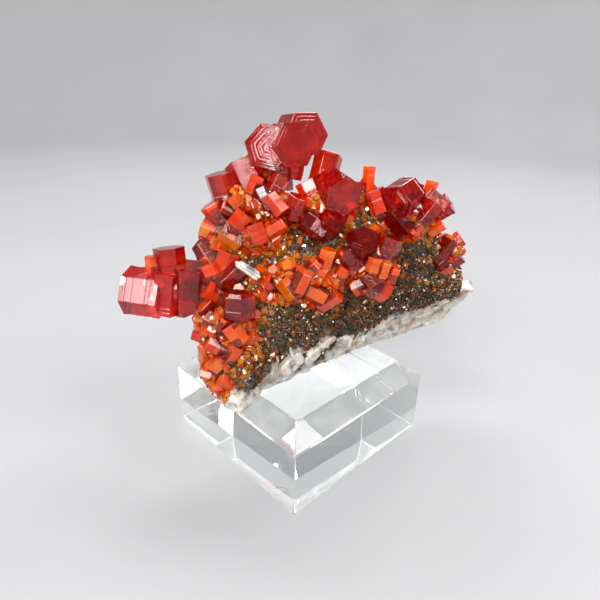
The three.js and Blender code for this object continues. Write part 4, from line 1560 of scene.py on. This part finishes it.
SMALL_CRYSTALS = (
    SmallCrystals("crust_red", Shape.PRISM, Zone.RED, 0.7, 1.5, (0.9, 2.4), 1.8, 80, (0.0, 0.7), 11,
                  Slot.VANADINITE),
    SmallCrystals("crust_orange", Shape.PRISM, Zone.RED, 0.36, 3.2, (0.5, 1.3), 1.4, 80, (0.4, 1.0), 12,
                  Slot.VANADINITE),
    SmallCrystals("crust_amber", Shape.PRISM, Zone.AMBER, 0.42, 1.6, (0.4, 1.3), 2.0, 80, (0.5, 1.0), 13,
                  Slot.VANADINITE),
    SmallCrystals("druse_dark", Shape.POINT, Zone.DARK, 0.3, 2.6, (0.5, 1.1), 1.8, 60, (0.0, 1.0), 14,
                  Slot.BARITE),
    SmallCrystals("druse_fine", Shape.POINT, Zone.DARK, 0.2, 3.9, (0.3, 0.75), 1.8, 60, (0.0, 1.0), 17,
                  Slot.BARITE),
    SmallCrystals("druse_brown", Shape.PRISM, Zone.DARK, 0.45, 0.8, (0.4, 1.0), 1.6, 75, (0.0, 0.4), 16,
                  Slot.VANADINITE),
    SmallCrystals("barite_blades", Shape.BLADE, Zone.PALE, 1.2, 0.12, (1.2, 3.4), 1.6, 60, (0.0, 1.0), 15,
                  Slot.BARITE),
)


# ---- Display block


@dataclass(frozen=True)
class DisplayBlock:
    """The clear block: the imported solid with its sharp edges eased."""

    bevel: float = 0.22

    def build(self, material: bpy.types.Material) -> bpy.types.Object:
        """Builds the block.

        Args:
            material: The clear material.

        Returns:
            The finished piece.
        """
        mesh = merged_copy("acrylic_block")
        shape = bmesh.new()
        shape.from_mesh(mesh)
        bmesh.ops.dissolve_limit(shape, angle_limit=math.radians(1), verts=shape.verts, edges=shape.edges)
        bmesh.ops.bevel(shape, geom=shape.edges[:] + shape.verts[:], offset=self.bevel * MM, segments=2,
                        profile=0.5, affect="EDGES")
        bmesh.ops.recalc_face_normals(shape, faces=shape.faces)
        shape.to_mesh(mesh)
        shape.free()
        piece = link(mesh, "display_block")
        finish_piece(piece, material, ("acrylic_block",))
        # Lamps count as hidden behind a clear body, so the block's shadow would be as dark as a solid's.
        piece.visible_shadow = False
        return piece


# ---- Studio


@dataclass(frozen=True)
class Softbox:
    """A soft rectangular light that faces the specimen.

    Azimuth 0 is on the viewer's side and 90 is on the right. Angles are in degrees, the distance and the
    size in metres, and the power in watts.
    """

    name: str
    azimuth: float
    elevation: float
    distance: float
    size: tuple[float, float]
    power: float

    def place(self, target: Vector) -> bpy.types.Object:
        """Puts the light round the target.

        Args:
            target: What the light faces, in metres.

        Returns:
            The light.
        """
        a, e = math.radians(self.azimuth), math.radians(self.elevation)
        out = Vector((math.sin(a) * math.cos(e), -math.cos(a) * math.cos(e), math.sin(e)))
        lamp = bpy.data.lights.new(self.name, "AREA")
        lamp.shape = "RECTANGLE"
        lamp.size, lamp.size_y = self.size
        lamp.energy = self.power
        light = bpy.data.objects.new(self.name, lamp)
        light.location = target + out * self.distance
        light.rotation_euler = (-out).to_track_quat("-Z", "Y").to_euler()
        light.visible_camera = False
        bpy.context.scene.collection.objects.link(light)
        return light


@dataclass(frozen=True)
class Studio:
    """The pale floor that curves up into a backdrop, the lights and the camera.

    The floor's sizes are in metres, and it lies lower than the block by the floor gap, in millimetres. The
    camera's place is in millimetres, and its axes are those found from the photograph.
    """

    floor_radius: float = 0.5
    curve: float = 0.3
    curve_steps: int = 16
    wall: float = 0.7
    floor_sides: int = 96
    floor_gap: float = 0.02
    target: Point = (0, 0, 38)
    room_colour: Colour = (0.9, 0.95, 1.0)
    room_light: float = 0.2
    camera_at: Point = (0.71, -90.77, 73.11)
    camera_right: Point = (0.99935, 0.02356, 0.02739)
    camera_up: Point = (-0.03476, 0.42008, 0.90682)
    camera_back: Point = (0.00986, -0.90718, 0.42063)
    focal_share: float = 484.5 / 600
    sensor: float = 36.0
    stops: float = -0.12

    def floor(self, material: bpy.types.Material) -> bpy.types.Object:
        """Builds the floor and backdrop as one bowl.

        Args:
            material: Its material.

        Returns:
            The stage object.
        """
        profile = [(0.0, 0.0), (self.floor_radius, 0.0)]
        for step in range(1, self.curve_steps + 1):
            angle = math.pi / 2 * step / self.curve_steps
            profile.append((self.floor_radius + self.curve * math.sin(angle),
                            self.curve * (1 - math.cos(angle))))
        profile.append((self.floor_radius + self.curve, self.wall))
        count = self.floor_sides
        points, faces = [Vector((0, 0, 0))], []
        for radius, level in profile[1:]:
            for k in range(count):
                angle = 2 * math.pi * k / count
                points.append(Vector((radius * math.cos(angle), radius * math.sin(angle), level)) / MM)
        for k in range(count):
            faces.append([0, 1 + k, 1 + (k + 1) % count])
        for row in range(len(profile) - 2):
            for k in range(count):
                a, b = 1 + row * count + k, 1 + row * count + (k + 1) % count
                faces.append([b, a, a + count, b + count])
        stage = link(mesh_from(points, faces, "studio_floor"), "studio_floor")
        stage.data.shade_smooth()
        stage.data.materials.append(material)
        stage.location.z = -self.floor_gap * MM
        return stage

    def camera(self) -> bpy.types.Object:
        """Puts the camera where the photograph was taken from."""
        lens = bpy.data.cameras.new("camera")
        lens.sensor_width = self.sensor
        lens.lens = self.focal_share * self.sensor
        lens.clip_start = 0.005
        camera = bpy.data.objects.new("camera", lens)
        turn = Matrix((self.camera_right, self.camera_up, self.camera_back)).transposed().to_4x4()
        camera.matrix_world = Matrix.Translation(Vector(self.camera_at) * MM) @ turn
        bpy.context.scene.collection.objects.link(camera)
        bpy.context.scene.camera = camera
        return camera

    def lights(self) -> None:
        """Places the soft lights and the even light of the room."""
        target = Vector(self.target) * MM
        for softbox in SOFTBOXES:
            softbox.place(target)
        world = bpy.data.worlds.new("room")
        world.use_nodes = True
        room = world.node_tree.nodes["Background"]
        room.inputs["Color"].default_value = (*self.room_colour, 1.0)
        room.inputs["Strength"].default_value = self.room_light
        bpy.context.scene.world = world

    def exposure(self) -> None:
        """Sets how the light becomes a picture, and lets light pass many faces of clear pieces."""
        scene = bpy.context.scene
        scene.view_settings.view_transform = "Standard"
        scene.view_settings.look = "Medium High Contrast"
        scene.view_settings.exposure = self.stops
        scene.cycles.max_bounces = 24
        scene.cycles.glossy_bounces = 12
        scene.cycles.transmission_bounces = 20


SOFTBOXES = (
    Softbox("key", -32, 37, 0.68, (0.42, 0.44), 4.4),
    Softbox("spark", -14, 30, 0.72, (0.05, 0.05), 1.0),
    Softbox("front_top", -60, 66, 0.72, (0.18, 0.18), 1.6),
    Softbox("front_right", 14, 24, 0.72, (0.18, 0.29), 1.9),
    Softbox("back_left", -158, 50, 0.76, (0.40, 0.18), 3.2),
    Softbox("right", 72, 44, 0.76, (0.32, 0.48), 3.6),
    Softbox("back_right", 140, 50, 0.76, (0.36, 0.34), 3.8),
    Softbox("overhead", 10, 86, 0.81, (0.43, 0.36), 1.3),
)


# The colours along the tints, from a large crystal to a small one.
RED_STOPS = (
    (0.0, (0.50, 0.008, 0.006)),
    (0.35, (0.84, 0.055, 0.005)),
    (0.65, (0.98, 0.16, 0.006)),
    (1.0, (1.0, 0.34, 0.012)),
)
AMBER_STOPS = (
    (0.0, (0.20, 0.03, 0.006)),
    (0.6, (0.42, 0.11, 0.015)),
    (1.0, (0.70, 0.26, 0.03)),
)


PAPER = PlainFinish("studio_paper", (0.25, 0.25, 0.255), (0.265, 0.265, 0.27), 0.6, scale=9.0)
DEEP = CrystalFinish("vanadinite_deep", RED_STOPS, clearness=0.87, index=1.66, relief=0.5)
RED = CrystalFinish("vanadinite", RED_STOPS)
AMBER = CrystalFinish("vanadinite_amber", AMBER_STOPS)
# The druse's lighter brown-gold mottling is partly the colour of its brown crystals and partly painted
# golden glints.
DARK = PlainFinish("dark_druse", (0.007, 0.005, 0.003), (0.11, 0.065, 0.018), 0.08, scale=700.0, index=1.6)
WHITE = RockFinish("barite_white")


def main() -> None:
    """Builds the studio, the block and the specimen."""
    logging.basicConfig(level=logging.INFO, format="%(name)s: %(message)s")
    studio = Studio()
    studio.camera()
    studio.lights()
    studio.exposure()
    studio.floor(PAPER.make())

    DisplayBlock().build(AcrylicFinish().make())
    BariteRock().build(RockFinish().make())
    deep, red, amber, dark, white = (finish.make() for finish in (DEEP, RED, AMBER, DARK, WHITE))
    BariteLaths().build(white)
    for cluster in CLUSTERS:
        cluster.build(deep, red)

    bed = GrowingBed().build()
    sprout = Sprout()
    materials = {
        "crust_red": red,
        "crust_orange": red,
        "crust_amber": amber,
        "druse_dark": dark,
        "druse_fine": dark,
        "druse_brown": amber,
        "barite_blades": white,
    }
    for kind in SMALL_CRYSTALS:
        kind.build(sprout, bed, materials[kind.name])
    mesh = bed.data
    bpy.data.objects.remove(bed)
    bpy.data.meshes.remove(mesh)


if __name__ == "__main__":
    main()
